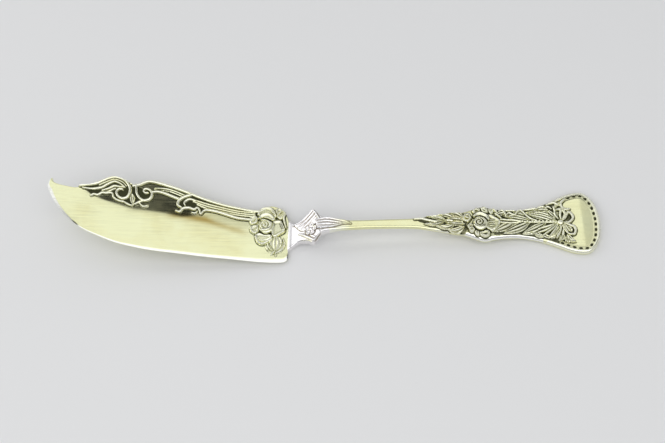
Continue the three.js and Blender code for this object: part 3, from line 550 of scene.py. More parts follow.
def cast(name, relief, bed, outline, node, slot):
    """Meshes a relief as a closed body, sunk into what carries it and kept inside its outline."""
    height, wear_and_painted_light = relief.surface()
    room = relief.within(outline, FAR)[1]
    inside = np.minimum(relief.inside + SKIRT, room - TRIM)
    full = inside > 0
    number = np.full(full.shape, -1)
    number[full] = np.arange(full.sum())
    fields = (relief.s, relief.y, height, wear_and_painted_light)
    rows = [list(field[full]) for field in fields]
    cuts = {}

    def cut(a, b):
        """The point where the outline crosses a grid line."""
        key = (a, b) if a < b else (b, a)
        if key not in cuts:
            inner, outer = (a, b) if full[a] else (b, a)
            t = np.clip(inside[inner] / (inside[inner] - inside[outer]), LEAST_CUT, 1 - LEAST_CUT)
            cuts[key] = len(rows[0])
            for row, field in zip(rows, fields):
                row.append(mix(field[inner], field[outer], t))
        return cuts[key]

    whole = np.logical_and.reduce(corners(full))
    part = np.logical_or.reduce(corners(full)) & ~whole
    faces = np.stack([corner[whole] for corner in corners(number)], axis=-1).tolist()
    rim = []
    for i, j in zip(*np.nonzero(part)):
        around = [(i, j), (i + 1, j), (i + 1, j + 1), (i, j + 1)]
        face, crossings = [], []
        for a, b in zip(around, around[1:] + around[:1]):
            if full[a]:
                face.append(number[a])
            if full[a] != full[b]:
                crossings.append((cut(a, b), full[a]))
                face.append(crossings[-1][0])
        faces.append(face)
        # The rim crosses the cell from where this walk leaves the relief to where it comes back
        turns = crossings if crossings[0][1] else crossings[1:] + crossings[:1]
        rim += [(a[0], b[0]) for a, b in zip(turns[::2], turns[1::2])]
    s, y, h, w = (np.array(row) for row in rows)
    ground = bed(s, y)
    points = np.vstack([place(s, y, ground + h), place(s, y, ground - SINK)])
    count = len(s)
    under = [[k + count for k in reversed(face)] for face in faces]
    walls = [[b, a, a + count, b + count] for a, b in rim]
    piece = shown(name, points, faces + under + walls, np.tile(w, 2), node, slot)
    if relief.gold:
        gold_reflection_and_tint = GOLD_LEVEL * (1 - smooth(*relief.gold, s))
        set_values(piece.data, "gold_reflection_and_tint", np.tile(gold_reflection_and_tint, 2))


def loft(name, node, slot, rails, inward, face, under, rims, rows, shade, rim_highlight_and_wear, face_wear,
         crease=CREASE):
    """A closed plate between two rails, with rounded or bevelled rims.

    rims holds width, depth and power for the upper rim of each rail, then for the lower rim.
    rim_highlight_and_wear is for the first rail's upper rim, painted bright as a highlight on the handle
    and the blade, and face_wear for the rest, ring by ring.
    """
    steps = RIM_STEPS[:, None]

    def side(rim_pair):
        """Plan places across one side of the plate, and how far its rims fall away."""
        plans, drops = [], []
        for rail, way, (radius, depth, power) in zip(rails, inward, rim_pair):
            offset = steps * radius[None, :]
            plans.append(rail[None] + way[None] * offset[..., None])
            drops.append(rim_drop(offset, radius, depth, power))
        shares = np.linspace(0, 1, rows + 1)[1:-1, None, None]
        middle = mix(plans[0][-1][None], plans[1][-1][None], shares)
        plan = np.concatenate([plans[0], middle, plans[1][::-1]])
        drop = np.concatenate([drops[0], np.zeros(middle.shape[:2]), drops[1][::-1]])
        return plan[..., 0], plan[..., 1], drop

    upper_s, upper_y, upper_drop = side(rims[:2])
    lower_s, lower_y, lower_drop = side(rims[2:])
    upper_side = (upper_s, upper_y, face(upper_s, upper_y) - upper_drop)
    lower_side = (lower_s, lower_y, under(lower_s) + lower_drop)
    s, y, z = (np.concatenate([a, b[::-1]]).T for a, b in zip(upper_side, lower_side))
    rings, around = z.shape
    points = place(s, y, z).reshape(-1, 3)
    index = np.arange(rings * around).reshape(rings, around)
    step = np.roll(index, -1, axis=1)
    faces = np.stack([index[:-1], index[1:], step[1:], step[:-1]], axis=-1).reshape(-1, 4).tolist()
    half = around // 2
    last = len(RIM_STEPS) - 1
    # Both ends are closed by strips from rim to rim, the rest of each side and the wall between them
    for ring in (index[0], index[-1]):
        for strip in (ring[:half], ring[half:]):
            for k in range(last - 1):
                faces.append([strip[k], strip[k + 1], strip[-2 - k], strip[-1 - k]])
            faces.append(list(strip[last - 1:half - last + 1]))
        faces.append([ring[0], ring[half - 1], ring[half], ring[-1]])
    s, y = s.ravel(), y.ravel()
    upper = np.tile(np.arange(around) < half, rings)
    # The upper face darkens round the relief that stands on it: painted shade, with tarnish
    dark = np.zeros(len(points))
    for relief in shade:
        dark = np.maximum(dark, relief.shade_at(s, y))
    near_rim = np.tile(np.arange(around) < last, rings)
    wear_and_painted_light = np.where(near_rim, np.repeat(rim_highlight_and_wear, around), np.repeat(face_wear, around))
    wear_and_painted_light = wear_and_painted_light - np.where(upper, np.clip(SHADE_GAIN * dark, 0, DEEPEST_SHADE), 0)
    piece = shown(name, points, faces, wear_and_painted_light, node, slot, crease)
    # The painted golden reflection, which lies on the blade only
    set_values(piece.data, "gold_reflection_and_tint", np.where(upper, gold_reflection_at(s, y), 0))


def feed(socket, value):
    """Gives a node's input a link, a colour or a number."""
    if isinstance(value, bpy.types.NodeSocket):
        socket.id_data.links.new(value, socket)
    else:
        socket.default_value = (*value, 1) if socket.type == "RGBA" else value


def add_node(tree, kind, values=None, **settings):
    """A new node's outputs."""
    made = tree.nodes.new("ShaderNode" + kind)
    for key, value in settings.items():
        setattr(made, key, value)
    for key, value in (values or {}).items():
        feed(made.inputs[key], value)
    return made.outputs


def math_node(operation, first, *others):
    values = dict(enumerate((first, *others)))
    return add_node(first.id_data, "Math", values, operation=operation)[0]


def ranged(value, span, start, end, curve="LINEAR"):
    """A value that runs over the span, made to run from start to end."""
    values = {"Value": value, "From Min": span[0], "From Max": span[1], "To Min": start, "To Max": end}
    return add_node(value.id_data, "MapRange", values, interpolation_type=curve)["Result"]


def blend(share, a, b):
    return add_node(share.id_data, "Mix", {"Factor": share, 6: a, 7: b}, data_type="RGBA")[2]


def noise(where, scale, detail, roughness=0.5):
    values = {"Vector": where, "Scale": scale, "Detail": detail, "Roughness": roughness}
    return add_node(where.id_data, "TexNoise", values)["Fac"]


# Materials: polished silver, a paler and whiter copy of it painted as the highlight on the neck and the
# bolster, and cast silver; all dark with tarnish and painted shade where relief is deep
SMUDGE_SCALE, SPECK_SCALE, SCRATCH_SCALE = 70.0, 900.0, (60.0, 2600.0, 600.0)
NOISE_SPAN, WARM_SPAN, GOLD_SPAN, SMUDGE_SPAN = (0.3, 0.7), (0.42, 0.68), (0.3, 0.6), (0.4, 0.7)
DARKENED, BRIGHTENED = (0.18, 0.44), (0.58, 0.9)
SPECK_WEAR = 0.04
GOLD_LEAST, GOLD_MOST = 0.7, 0.95
SCRATCH_SMOOTHER, SCRATCH_ROUGHER = 0.04, 0.06
SMUDGE_ROUGHER, DARKENED_ROUGHER = 0.06, 0.28
SCRATCH_BUMP, BUMP_DEPTH = 0.35, 0.00008
# Dark colour of tarnish and of painted shade
TARNISH_AND_SHADE = (0.065, 0.068, 0.034)
# Gold of the reflection painted along the blade
GOLD_REFLECTION = (0.48, 0.355, 0.10)


def build_silver(name, tint, warm, bright, tarnish_and_shade, gold_colour, roughness, grain, bump):
    """Silver with smudges, specks and scratches, coloured by its wear with painted shade and highlight,
    and by a golden share: a painted reflection on the blade, the shank's tint on the neck.
    """
    material = bpy.data.materials.new(name)
    material.use_nodes = True
    tree = material.node_tree
    shader = tree.nodes["Principled BSDF"].inputs
    where = add_node(tree, "TexCoord")["Object"]
    wear_and_painted_light = add_node(tree, "Attribute", attribute_name="wear_and_painted_light")["Fac"]
    gold_reflection_and_tint = add_node(tree, "Attribute", attribute_name="gold_reflection_and_tint")["Fac"]
    stretched = add_node(tree, "Mapping", {"Vector": where, "Scale": SCRATCH_SCALE})["Vector"]
    smudge = noise(where, SMUDGE_SCALE, detail=4.0, roughness=0.6)
    speck = noise(where, SPECK_SCALE, detail=3.0)
    scratch = noise(stretched, 1.0, detail=5.0)

    # Wear with painted shade and highlight, with specks
    specked_wear_and_light = math_node("ADD", wear_and_painted_light, ranged(speck, NOISE_SPAN, -SPECK_WEAR, SPECK_WEAR))
    deep = ranged(specked_wear_and_light, DARKENED, 1.0, 0.0)
    # The golden share: a painted reflection on the blade, the shank's tint on the neck
    gold_share = math_node("MULTIPLY", gold_reflection_and_tint, ranged(smudge, GOLD_SPAN, GOLD_LEAST, GOLD_MOST))
    colour = blend(ranged(smudge, WARM_SPAN, 0.0, 1.0), tint, warm)
    colour = blend(ranged(specked_wear_and_light, BRIGHTENED, 0.0, 1.0), colour, bright)
    colour = blend(gold_share, colour, gold_colour)
    feed(shader["Base Color"], blend(deep, colour, tarnish_and_shade))

    scratched = ranged(scratch, NOISE_SPAN, roughness - SCRATCH_SMOOTHER, roughness + SCRATCH_ROUGHER)
    rough = math_node("ADD", scratched, ranged(smudge, SMUDGE_SPAN, 0.0, SMUDGE_ROUGHER))
    rough = math_node("ADD", rough, math_node("MULTIPLY", deep, DARKENED_ROUGHER))
    feed(shader["Roughness"], rough)

    lines = math_node("MULTIPLY", scratch, SCRATCH_BUMP)
    fine = math_node("ADD", lines, math_node("MULTIPLY", speck, grain))
    surface = add_node(tree, "Bump", {"Height": fine, "Strength": bump, "Distance": BUMP_DEPTH})
    feed(shader["Normal"], surface["Normal"])
    feed(shader["Metallic"], 1.0)
    return material


MATERIALS = {
    "polished_silver": build_silver(
        "polished_silver", (0.87, 0.88, 0.56), (0.86, 0.84, 0.49), (0.97, 0.97, 0.92),
        TARNISH_AND_SHADE, GOLD_REFLECTION, roughness=0.11, grain=0.0, bump=0.03),
    # Silver of the neck and the bolster: the same metal, painted paler and whiter as the highlight it
    # catches
    "pale_silver": build_silver(
        "pale_silver", (0.93, 0.91, 0.92), (0.90, 0.88, 0.86), (0.98, 0.97, 0.98),
        (0.34, 0.29, 0.22), (0.72, 0.70, 0.36), roughness=0.2, grain=0.3, bump=0.06),
    "cast_silver": build_silver(
        "cast_silver", (0.82, 0.83, 0.55), (0.80, 0.77, 0.45), (0.96, 0.96, 0.78),
        TARNISH_AND_SHADE, GOLD_REFLECTION, roughness=0.2, grain=0.7, bump=0.1),
}

# Plume, its two scrolls and the drop between them, on the blade's crest
plume = Relief((144, 8), (172, 21.5), DARK_WEAR)
for outline in (
    [(169, 16.6), (164, 17.6), (158, 19.6), (154, 17.6), (153.6, 13.4), (156, 11.8), (159.6, 14),
     (165.4, 13.6)],
    [(153.4, 18.2), (151.4, 17.6), (151, 13.4), (148.6, 11.8), (152, 10), (155.6, 11.6), (153.4, 14)],
    [(151, 14.6), (148.7, 12), (146.3, 13.2), (146.4, 15.2), (148.6, 16), (150.4, 16.4)],
):
    plume.plate(outline, 0.2)
for points, widths, height in (
    ([(169.7, 16.8), (167.8, 17.1), (164.2, 17.8), (161.6, 19), (159.5, 19.8), (157.9, 19.9),
      (155.9, 19.3), (154.4, 18.1), (153.3, 16.2), (153.3, 14.3), (154.2, 12.8), (155.8, 12.4),
      (157.2, 13.3), (157.6, 14.7), (156.9, 15.7), (155.8, 15.6)],
     (1.2, 1.35, 1.15, 1.1, 1.1, 1.0, 0.8), 0.95),
    ([(168.8, 15.9), (166.3, 15.6), (164.2, 15.8), (162.4, 16.3), (160.6, 17.5), (158.8, 18.4),
      (157.4, 18.1), (156, 17.2), (155.1, 16.4)], (0.5, 0.9, 0.8, 0.6), 0.75),
    ([(163.5, 17), (161.2, 18.2), (159, 19.1), (157.3, 18.9), (155.7, 18.1), (154.6, 16.9)],
     (0.4, 0.6, 0.5), 0.65),
    ([(162.4, 15), (160.2, 15.9), (158.6, 16.8), (157, 16.6), (155.6, 16.4)], (0.5, 0.9, 0.6), 0.75),
    ([(161.4, 14.4), (160, 14.9), (158.9, 15.6), (158, 15.9)], (0.4, 0.7, 0.4), 0.7),
    ([(165.8, 13.2), (165, 13.7), (163.7, 13.5), (162.4, 14.3), (161.1, 14.2), (159.2, 14.3),
      (158.5, 12.8), (157.3, 11.9), (155.4, 11.3)], (0.7, 0.8, 0.7, 0.7), 0.7),
):
    plume.ridge(points, widths, height)
plume.leaf([(152.5, 14), (152.3, 12.2), (151.9, 9.9)], 1.9, 0.95)
for points, widths, height in (
    ([(155.4, 11.5), (153.7, 10.5), (152.3, 9.9)], (0.5, 0.8, 0.5), 0.7),
    ([(151.5, 10.5), (150, 11.4), (148.2, 11.8)], (0.5, 0.8, 0.5), 0.7),
    ([(150, 11), (148.8, 9.9), (147.4, 10.1)], (0.6, 0.6, 0.5), 0.5),
    ([(153.1, 18.1), (151.6, 17.9), (151.2, 16), (151, 14.4), (150.1, 12.8), (148.7, 11.9), (147.1, 12.2),
      (146.1, 13.3), (146.1, 14.8), (147.2, 15.8), (148.4, 15.9), (148.8, 15.1), (148.2, 14.5),
      (147.4, 14.6)], (0.7, 0.9, 1.0, 0.9, 0.7), 0.9),
):
    plume.ridge(points, widths, height)
plume.boss((153, 18), 0.75, 0.8)

# Reeds along the blade's back, bound by a clasp with a tendril
BACK_REED_STATIONS = (152.3, 150.4, 147.4, 144, 140, 136, 132, 127, 122, 117.5, 113.2, 110.6)
BACK_REED_INSET = 0.55
REED_COUNT, REED_PITCH = 3, 0.85
reeds = Relief((109, 4.5), (154, 20.5), DARK_WEAR)
back_reed = [(s, rail_height(back_rail, s) - BACK_REED_INSET) for s in BACK_REED_STATIONS]
under_reeds = [(110.6, 6.4), (114, 5.9), (120, 7.2), (126, 8.9), (129.5, 8.4)]
under_clasp = [
    (129.8, 8), (132.5, 9.4), (136.8, 9.6), (137.4, 11.2), (136, 12.6), (140, 13.8), (140.4, 15.8)]
reeds.plate(back_reed[7:] + under_reeds, 0.25, bend=False)
reeds.plate(back_reed[4:8] + under_clasp, 0.25, bend=False)
for points, widths, height in (
    (back_reed, (0.8, 1.1, 1.1, 1.1, 1.0), 0.9),
    ([(145.2, 16.4), (141.5, 16.3), (138.5, 15.5), (135.6, 14.3), (133.8, 13.9)],
     (0.3, 0.5, 0.5, 0.5), 0.5),
    ([(143, 15.7), (140, 15.3), (137.4, 14.3), (135.2, 13.4)], (0.3, 0.4, 0.4), 0.45),
    ([(146.2, 14.9), (143.9, 15.1), (141.3, 14.4), (139.1, 13.5), (136.5, 12.5)],
     (0.7, 0.9, 1.0, 1.0), 0.85),
    ([(132.8, 14.4), (135.5, 13.4), (137, 12.1), (137.3, 10.6), (136.3, 9.8)],
     (0.8, 1.1, 1.1, 1.0, 0.8), 0.95),
    ([(131.6, 12.3), (133.4, 12.8), (134.7, 12.2), (135.3, 11.3), (135, 10.6)], (0.6, 0.9, 0.8, 0.6), 0.8),
    ([(137.8, 8.5), (136.6, 8.2), (135.6, 9.4), (133.6, 9.7), (132, 9.2), (131, 9.8), (130.2, 9),
      (129.8, 7.6)], (0.6, 0.9, 1.0, 0.9, 0.8, 0.7), 0.85),
    ([(132.6, 8.1), (131.6, 7.9), (131, 8.6)], (0.5, 0.6, 0.5), 0.6),
    ([(129.5, 7.6), (128.5, 8.9), (126, 8.9), (123.1, 8.2), (120.2, 7.2), (117.3, 6.3), (113, 5.8)],
     (0.6, 1.1, 1.1, 1.0, 0.9), 0.9),
):
    reeds.ridge(points, widths, height)
for reed in range(REED_COUNT):
    drop = REED_PITCH * reed
    reeds.ridge(
        [(133.6 - 1.3 * reed, 13.1 - 1.2 * drop), (127.5, 11.3 - drop), (122.8, 10.1 - 0.92 * drop),
         (117.4, 8.9 - 0.85 * drop), (112, 8.3 - 0.8 * drop)],
        (0.6, 0.7, 0.7, 0.6), 0.6)

# Rose at the blade's heel
heel_rose = Relief((100.9, -5), (116, 11.4), contrast=0.8, base_wear=0.68)
for outline, height in (
    ([(105.3, 9.2), (104.4, 10.2), (103.1, 10.1), (101.6, 8.6), (102.2, 7), (103.2, 5.8),
      (104.6, 6.6)], 0.75),
    ([(113.9, 5.6), (113.2, 6.9), (111.7, 7.3), (110.7, 6.4), (111, 4.6), (113, 3.9)], 0.9),
    ([(113.6, 2.8), (112.3, 3.8), (110.6, 3.6), (110.4, 1.4), (111.8, 0.4), (113.2, 1.4)], 0.9),
    ([(111.3, 7.6), (110.3, 9.8), (107.9, 10.7), (106, 10), (104.7, 8), (104.8, 6.6), (108, 5.6)], 0.95),
    ([(110.9, 6), (110.2, 7.4), (108.8, 8.2), (107.2, 8.2), (105.7, 7.2), (105, 5.4), (107.9, 4.6)], 1.2),
    ([(105.9, 5.2), (104.4, 5.5), (103, 5.3), (102.3, 4), (101.6, 2), (102.2, 0.8), (103.6, -0.1),
      (105, -1), (106.2, 0), (106.4, 3)], 1.1),
    ([(111.9, -0.6), (110.9, 0.9), (108.6, 0.9), (106.2, 0.2), (105.8, -1.4), (107.3, -2.8), (109.2, -3.6),
      (110.9, -2.8)], 1.1),
):
    heel_rose.lobe(outline, height)
for points in (
    [(110.6, 8.2), (109.6, 8.9), (108.3, 9.4)], [(106.7, 9), (105.9, 8.3), (105, 7.4)],
    [(106, 0.5), (105.1, -0.4), (103.6, 0.5), (102.2, 1.2)],
    [(101.6, 8.4), (102.3, 6.6), (102, 4.7), (101.5, 2.8)],
    [(104.4, 7.2), (103.7, 8.2), (102.9, 9)], [(113, 5), (112, 5.9), (111.4, 6.6)],
    [(112.8, 2.2), (111.6, 2.6)], [(110.6, -1.2), (109.4, -2), (107.6, -1.7), (106.4, -1)],
):
    heel_rose.ridge(points, (0.4, 0.8, 0.5), 1.25)
heel_rose.whorl((108, 3.1), 2.45, (108.5, 3.6), -0.9)
heel_rose.groove([(110.6, 5.5), (109.5, 6.1), (107.9, 6), (106.2, 5)], 0.7, 0.9)
heel_rose.groove([(110.9, 0.7), (109.9, 0.9), (108.4, 0.3), (106.4, 0.3)], 0.7, 0.9)
heel_rose.groove([(105.8, 4.5), (106.1, 2.9), (107, 1.8), (108.4, 1.3), (109.7, 1.5)], 0.45, 0.35)

# Bud and sepals under that rose
heel_bud = Relief((100.9, -9), (110, 0.2), contrast=0.7, base_wear=0.72)
heel_bud.leaf([(104.9, -0.4), (104.6, -2.8), (104.9, -6)], 3.6, 0.7, streaks=3)
for points in (
    [(107.4, -2.4), (107.2, -4), (106, -5.4)],
    [(102.5, -1), (101.9, -3.2), (103.1, -5.4), (104.7, -6.3), (104.6, -7.4)],
    [(108, -3.5), (107.6, -4.6), (107, -5.5)], [(105.1, -5.8), (105.7, -6.4), (106.1, -6.9)],
    [(103.6, -0.6), (102.9, -2.2), (103.1, -3.8)], [(106.2, -0.9), (106.6, -2.2), (106.3, -3.6)],
):
    heel_bud.ridge(points, (0.4, 0.65, 0.35), 0.6, over=True)

# Ribbed ears, small flower and long leaf over the neck
neck = Relief((78.5, -6), (99.8, 8), contrast=1.3, gold=(80, 87))
for outline, height in (
    ([(98.6, 3), (95.4, 4.2), (92.1, 6.6), (90.4, 4.2), (89.8, 2.2), (91.6, 1), (95.6, 0)], 0.3),
    ([(96, -1), (94.4, -2.6), (91.6, -4.9), (89.8, -3.6), (89.4, -2.2), (91, -1)], 0.12),
    ([(91, 2.4), (88.6, 2.4), (86, 2.2), (83.4, 1.5), (80.4, 0.7), (79.6, 0), (82.2, -0.2), (84.3, -0.7),
      (86.7, -1), (90.4, -0.8)], 0.35),
):
    neck.plate(outline, height, ground=False)
for points, widths in (
    ([(99, 3.1), (95.6, 4), (92.2, 6.4)], (0.5, 0.8, 0.6)),
    ([(97.4, 1.9), (94.4, 3.2), (91.8, 5.4)], (0.4, 0.8, 0.6)),
    ([(96, 0.8), (93.4, 2.3), (91.1, 4.3)], (0.4, 0.8, 0.6)),
    ([(92, 6.4), (90.9, 4.5), (89.9, 2.5)], (0.5, 0.6, 0.6)),
    ([(91, 2.4), (88.6, 2.4), (86, 2.2), (83.4, 1.5), (81.2, 1), (79.6, 0)], (0.5, 0.7, 0.7, 0.7, 0.6)),
    ([(90.6, 1.5), (87.2, 1.3), (84.3, 0.8), (82.6, 0.5)], (0.6, 0.7, 0.5)),
    ([(90.4, 0.5), (87.2, 0.3), (84.2, 0)], (0.6, 0.7, 0.4)),
    ([(90.2, -0.6), (86.7, -0.9), (84.3, -0.5), (82.2, 0)], (0.5, 0.6, 0.6, 0.4)),
):
    neck.ridge(points, widths, 0.6)
for points in (
    [(97, -0.7), (95.4, -1.6), (91.7, -4.7)], [(91.6, -4.7), (90.1, -3.6), (89.6, -2.3)],
    [(92.8, -2.6), (92, -3.2), (91.2, -3.8)],
):
    neck.ridge(points, (0.4, 0.7, 0.5), 0.35)
FLOWER_AT, FLOWER_PETALS, FLOWER_TURN, PETAL_SPREAD = (92.7, -0.6), 5, 30, 33
for k in range(FLOWER_PETALS):
    toward = 360 / FLOWER_PETALS * k + FLOWER_TURN
    neck.petal(FLOWER_AT, toward, PETAL_SPREAD, reach=2.0, height=0.8, lip=0.6)
neck.boss(FLOWER_AT, 0.65, 0.85)

# Leaves that run from the grip's rose up the shank
spray = Relief((41, -5), (61, 5), contrast=1.4)
spray.plate([(43, 3.4), (47, 3), (51, 1.6), (57, 1), (57, 0.2), (51, -1.2), (47, -2.6), (43, -3.4)], 0.25)
spray.ridge([(44, 0.2), (48, 0.6), (52, 0.1), (55, 0.7), (57, 1.2), (59, 1.1)],
            (0.9, 0.9, 0.9, 0.9, 0.9, 0.7), 0.85)
for root, bend, tip, width in (
    ((49, 0.4), (51.6, 1.6), (55.6, 1.9), 1.5), ((49.6, 0.2), (52.4, -0.9), (56.2, -0.7), 1.4),
    ((46, 1.2), (48.6, 2.6), (52, 2.6), 1.8), ((46.4, -0.8), (49, -1.9), (52.4, -1.6), 1.8),
    ((43.6, 1.6), (45.4, 3.1), (48.4, 3.2), 2.0), ((43.4, -1.6), (45.8, -3.0), (48.6, -2.8), 2.0),
    ((43.2, 0.8), (45.6, 1.2), (48.8, 1.2), 1.7), ((43.2, -0.6), (46, -0.5), (49.4, -0.3), 1.7),
):
    spray.leaf([root, bend, tip], width, 0.9, streaks=2)

# Rose in the middle of the grip
grip_rose = Relief((30.6, -6.6), (45, 6.8), contrast=1.4)
for outline, height in (
    ([(40.6, 1.6), (41.6, 3.4), (43.3, 2.8), (43.8, 0.8), (42, 0)], 0.8),
    ([(42.6, -1.4), (41.4, -0.2), (40.3, -1), (39.8, -3.2), (41.4, -3.7)], 0.9),
    ([(40.6, 4.2), (39.2, 5.5), (37.8, 5), (38, 3.4), (39.8, 2.8)], 0.9),
    ([(38, 5.3), (36.9, 5.9), (35.5, 5.3), (35.4, 3.4), (37.2, 3.6)], 0.95),
    ([(35.7, 4.8), (34.2, 5.4), (33.4, 4), (34.6, 2.8)], 0.85),
    ([(36.4, 2.6), (34.6, 3), (33.2, 2.1), (32, 1.3), (31.4, 0.2), (32, -1.2), (33.1, -2.6), (34.3, -3.5),
      (35.4, -2.9), (36.6, -1.6)], 1.0),
    ([(40.4, -3.4), (39.2, -2.4), (38.2, -3.6), (38.8, -4.9), (39.8, -4.6)], 0.75),
    ([(38.6, -3.2), (36.1, -2.6), (35.1, -3.6), (35.6, -4.9), (37, -5.5), (38.6, -4.6)], 0.75),
    ([(40.6, 2.2), (39.6, 3.3), (38.2, 3.9), (36.6, 3.5), (35.3, 2.4), (35, 0.6), (38, 0)], 1.15),
):
    grip_rose.lobe(outline, height)
PETAL_CUTS = 5
for cut in range(PETAL_CUTS):
    grip_rose.groove([(35.2, 1.3 - 0.7 * cut), (33.4, 1.1 - 0.62 * cut)], 0.35, 0.3)
for points in (
    [(39.9, 4.2), (39, 4.6), (38.4, 4.2)], [(37.4, 4.9), (36.4, 4.6), (35.9, 4)],
    [(37.8, -4.4), (36.8, -5), (35.9, -4.3)], [(32.4, -0.9), (33.4, -2.2), (34.6, -2.7)],
    [(42.8, 1.8), (41.8, 1.4)], [(41.8, -2.4), (40.9, -2)],
):
    grip_rose.ridge(points, (0.4, 0.7, 0.4), 1.2)
grip_rose.whorl((38.1, -0.5), 2.35, (38.5, -0.1), -0.4)
grip_rose.groove([(40.4, 0.8), (39.4, 1.9), (38, 2.2), (36.6, 1.7), (35.8, 0.4)], 0.6, 0.8)
grip_rose.groove([(40.4, -1.6), (39.4, -2.8), (38, -3.2), (36.4, -2.4)], 0.6, 0.8)

# Fern: leaves, curled lobes and strands from the rose to the bow
fern = Relief((11.6, -8), (36, 9.6), contrast=1.5)
FERN_STATIONS = (34, 31, 28, 25, 22, 19, 16, 13.6)
FERN_FAR_INSET, FERN_NEAR_INSET = 0.45, 0.9
far_edge = [(s, half_width(s) - FERN_FAR_INSET) for s in FERN_STATIONS]
near_edge = [(s, FERN_NEAR_INSET - half_width(s)) for s in reversed(FERN_STATIONS)]
fern.plate(far_edge + near_edge, 0.18, bend=False)
for root, bend, tip, width, streaks in (
    ((22.4, 1), (26.4, 2.1), (30.6, 2.3), 2.4, 3), ((13.8, 0.4), (18, 2.6), (24, 3.6), 3.4, 4),
    ((14.2, 1.8), (15.5, 3.3), (16.8, 5), 1.8, 2), ((15.8, 4.3), (18, 4.8), (21.4, 4.6), 1.6, 2),
    ((27.6, -0.1), (30.4, -1.6), (34, -3.4), 2.7, 2), ((22.6, -0.1), (26.4, -1.9), (31, -3.9), 3.3, 3),
    ((17.4, -0.5), (20.6, -2.4), (25.0, -4.1), 3.2, 3), ((29.6, 3.2), (31.2, 3.5), (33.4, 2.6), 1.7, 2),
    ((23.6, 2.6), (25.2, 3.3), (27.4, 3.8), 1.5, 2), ((21.6, -3.6), (23, -3.9), (25, -3.9), 0.9, 1),
    ((21.4, -3.7), (19.8, -4.6), (17.8, -5.2), 1.5, 2), ((18.4, -4.4), (17.2, -5.1), (15.9, -5.7), 1.2, 1),
):
    fern.leaf([root, bend, tip], width, 0.9, streaks=streaks)
for points, widths, height in (
    ([(31.5, 1.2), (29.4, 1), (27.4, 0.9), (23.6, 0.3), (19.6, 0.2), (13.6, 0)],
     (0.6, 0.8, 0.8, 0.8, 0.6), 0.8),
    ([(31.5, 0.2), (29.7, 0), (27.6, 0), (25, 0.2)], (0.5, 0.7, 0.7, 0.4), 0.7),
    ([(33.6, 5), (32.9, 4.3), (32.4, 3.4)], (0.6, 0.9, 0.5), 0.9),
    ([(33.2, 3.3), (32.3, 2.6), (31.4, 1.6)], (0.5, 0.9, 0.5), 0.95),
    ([(31.9, 3.9), (31.2, 4.5), (30.4, 4.2), (29.9, 3.2), (29.7, 2)], (0.5, 0.8, 0.9, 0.8, 0.5), 0.95),
    ([(29.6, 2.8), (28.6, 3.6), (27.6, 3), (26.6, 3), (25.9, 4.2)], (0.5, 0.8, 0.8, 0.8, 0.5), 0.9),
    ([(29.6, 4.3), (28.2, 4.5), (26.8, 4.3)], (0.5, 0.8, 0.5), 0.8),
    ([(25.8, 3.8), (25.2, 4.6), (24.4, 4.2), (23.4, 2.9), (22, 1.5), (20, 0.6)],
     (0.5, 0.8, 0.8, 0.8, 0.7, 0.5), 0.95),
    ([(23.7, 4.6), (22.1, 4.9), (20.3, 5.2), (19.6, 4.7)], (0.5, 0.9, 0.9, 0.5), 0.85),
    ([(19.8, 4.9), (18.9, 5.6), (17.2, 5.9)], (0.5, 0.9, 0.6), 0.85),
    ([(16.4, 6.4), (15, 7.1), (13.8, 7.2), (12.5, 6.2)], (0.5, 0.9, 0.9, 0.5), 0.85),
    ([(16.9, 5.3), (15.9, 5.8), (15, 5)], (0.5, 0.8, 0.5), 0.85),
    ([(13.2, 1.3), (14, 2.7), (14, 4.4), (14.3, 5.6)], (0.5, 0.8, 0.8, 0.5), 0.9),
    ([(13.6, -0.3), (15.9, -1.2), (17.7, -1.7), (19.8, -2.4)], (0.4, 0.8, 0.8, 0.5), 0.95),
    ([(13.7, -0.5), (15.8, -1.9), (17.8, -2.9), (20, -3.7)], (0.4, 0.8, 0.8, 0.5), 0.95),
    ([(13.6, -0.7), (15.3, -2.3), (17.2, -3.7), (18.6, -4.7)], (0.4, 0.8, 0.8, 0.5), 0.95),
    ([(13.5, -1), (14.7, -2.9), (15.8, -4.3), (16.6, -5.2)], (0.4, 0.8, 0.9, 0.5), 0.95),
):
    fern.ridge(points, widths, height, over=True)
for s in (24.6, 23, 21.4, 19.2, 18, 16.8, 15.6):
    fern.boss((s, 0.5), 0.45, 0.9)

# Bow: knot, loops and tails
bow = Relief((5, -9.4), (17.5, 9.6), contrast=1.3)
for outline in (
    [(11.9, 1.4), (12, 2.6), (11.7, 3.6), (11.3, 3.4), (11.5, 2)],
    [(10.7, 1), (9.9, 2.4), (9.5, 3), (9, 2.3), (9, 1.4), (9.6, 0.8)],
):
    bow.plate(outline, 0.1)
for points in (
    [(12.3, 0.6), (12.4, 2.6), (12.1, 3.9), (11.4, 4.5), (10.8, 3.1), (11.4, 1.7), (12, 0.7)],
    [(12, 0.5), (10.9, 1.5), (10.3, 2.7), (9.6, 3.7), (8.6, 2.6), (8.5, 1.3), (9.3, 0.3), (10.5, -0.2),
     (11.8, -0.1)],
    [(12.1, -0.3), (10.8, -0.5), (9.5, -1.2), (8.5, -1.6), (8.1, -2.9), (8.6, -4.3), (9.6, -4.5),
     (10.6, -4.2)],
    [(12.2, -0.6), (11.5, -2.1), (10.9, -3.5), (10.6, -4.2)], [(11.9, -0.5), (10.6, -1.9), (9.8, -3.5)],
    [(13.5, 4.6), (12.1, 4.8), (11.2, 5), (10.2, 4.6), (9, 4.8)],
    [(11.2, 5), (11.8, 6.3), (11.4, 7.5), (10.2, 8.4)],
    [(12.6, -0.9), (12.8, -2.6), (13.6, -4.4), (14.3, -5.7)],
    [(11.9, -2.6), (12.2, -4.8), (11.6, -6), (11.7, -7)], [(13.4, 7.6), (12.4, 8.4), (11.1, 8.8)],
):
    bow.ridge(points, (0.5, 0.85, 0.95, 0.95, 0.85, 0.5), 0.9, groove=0.25)
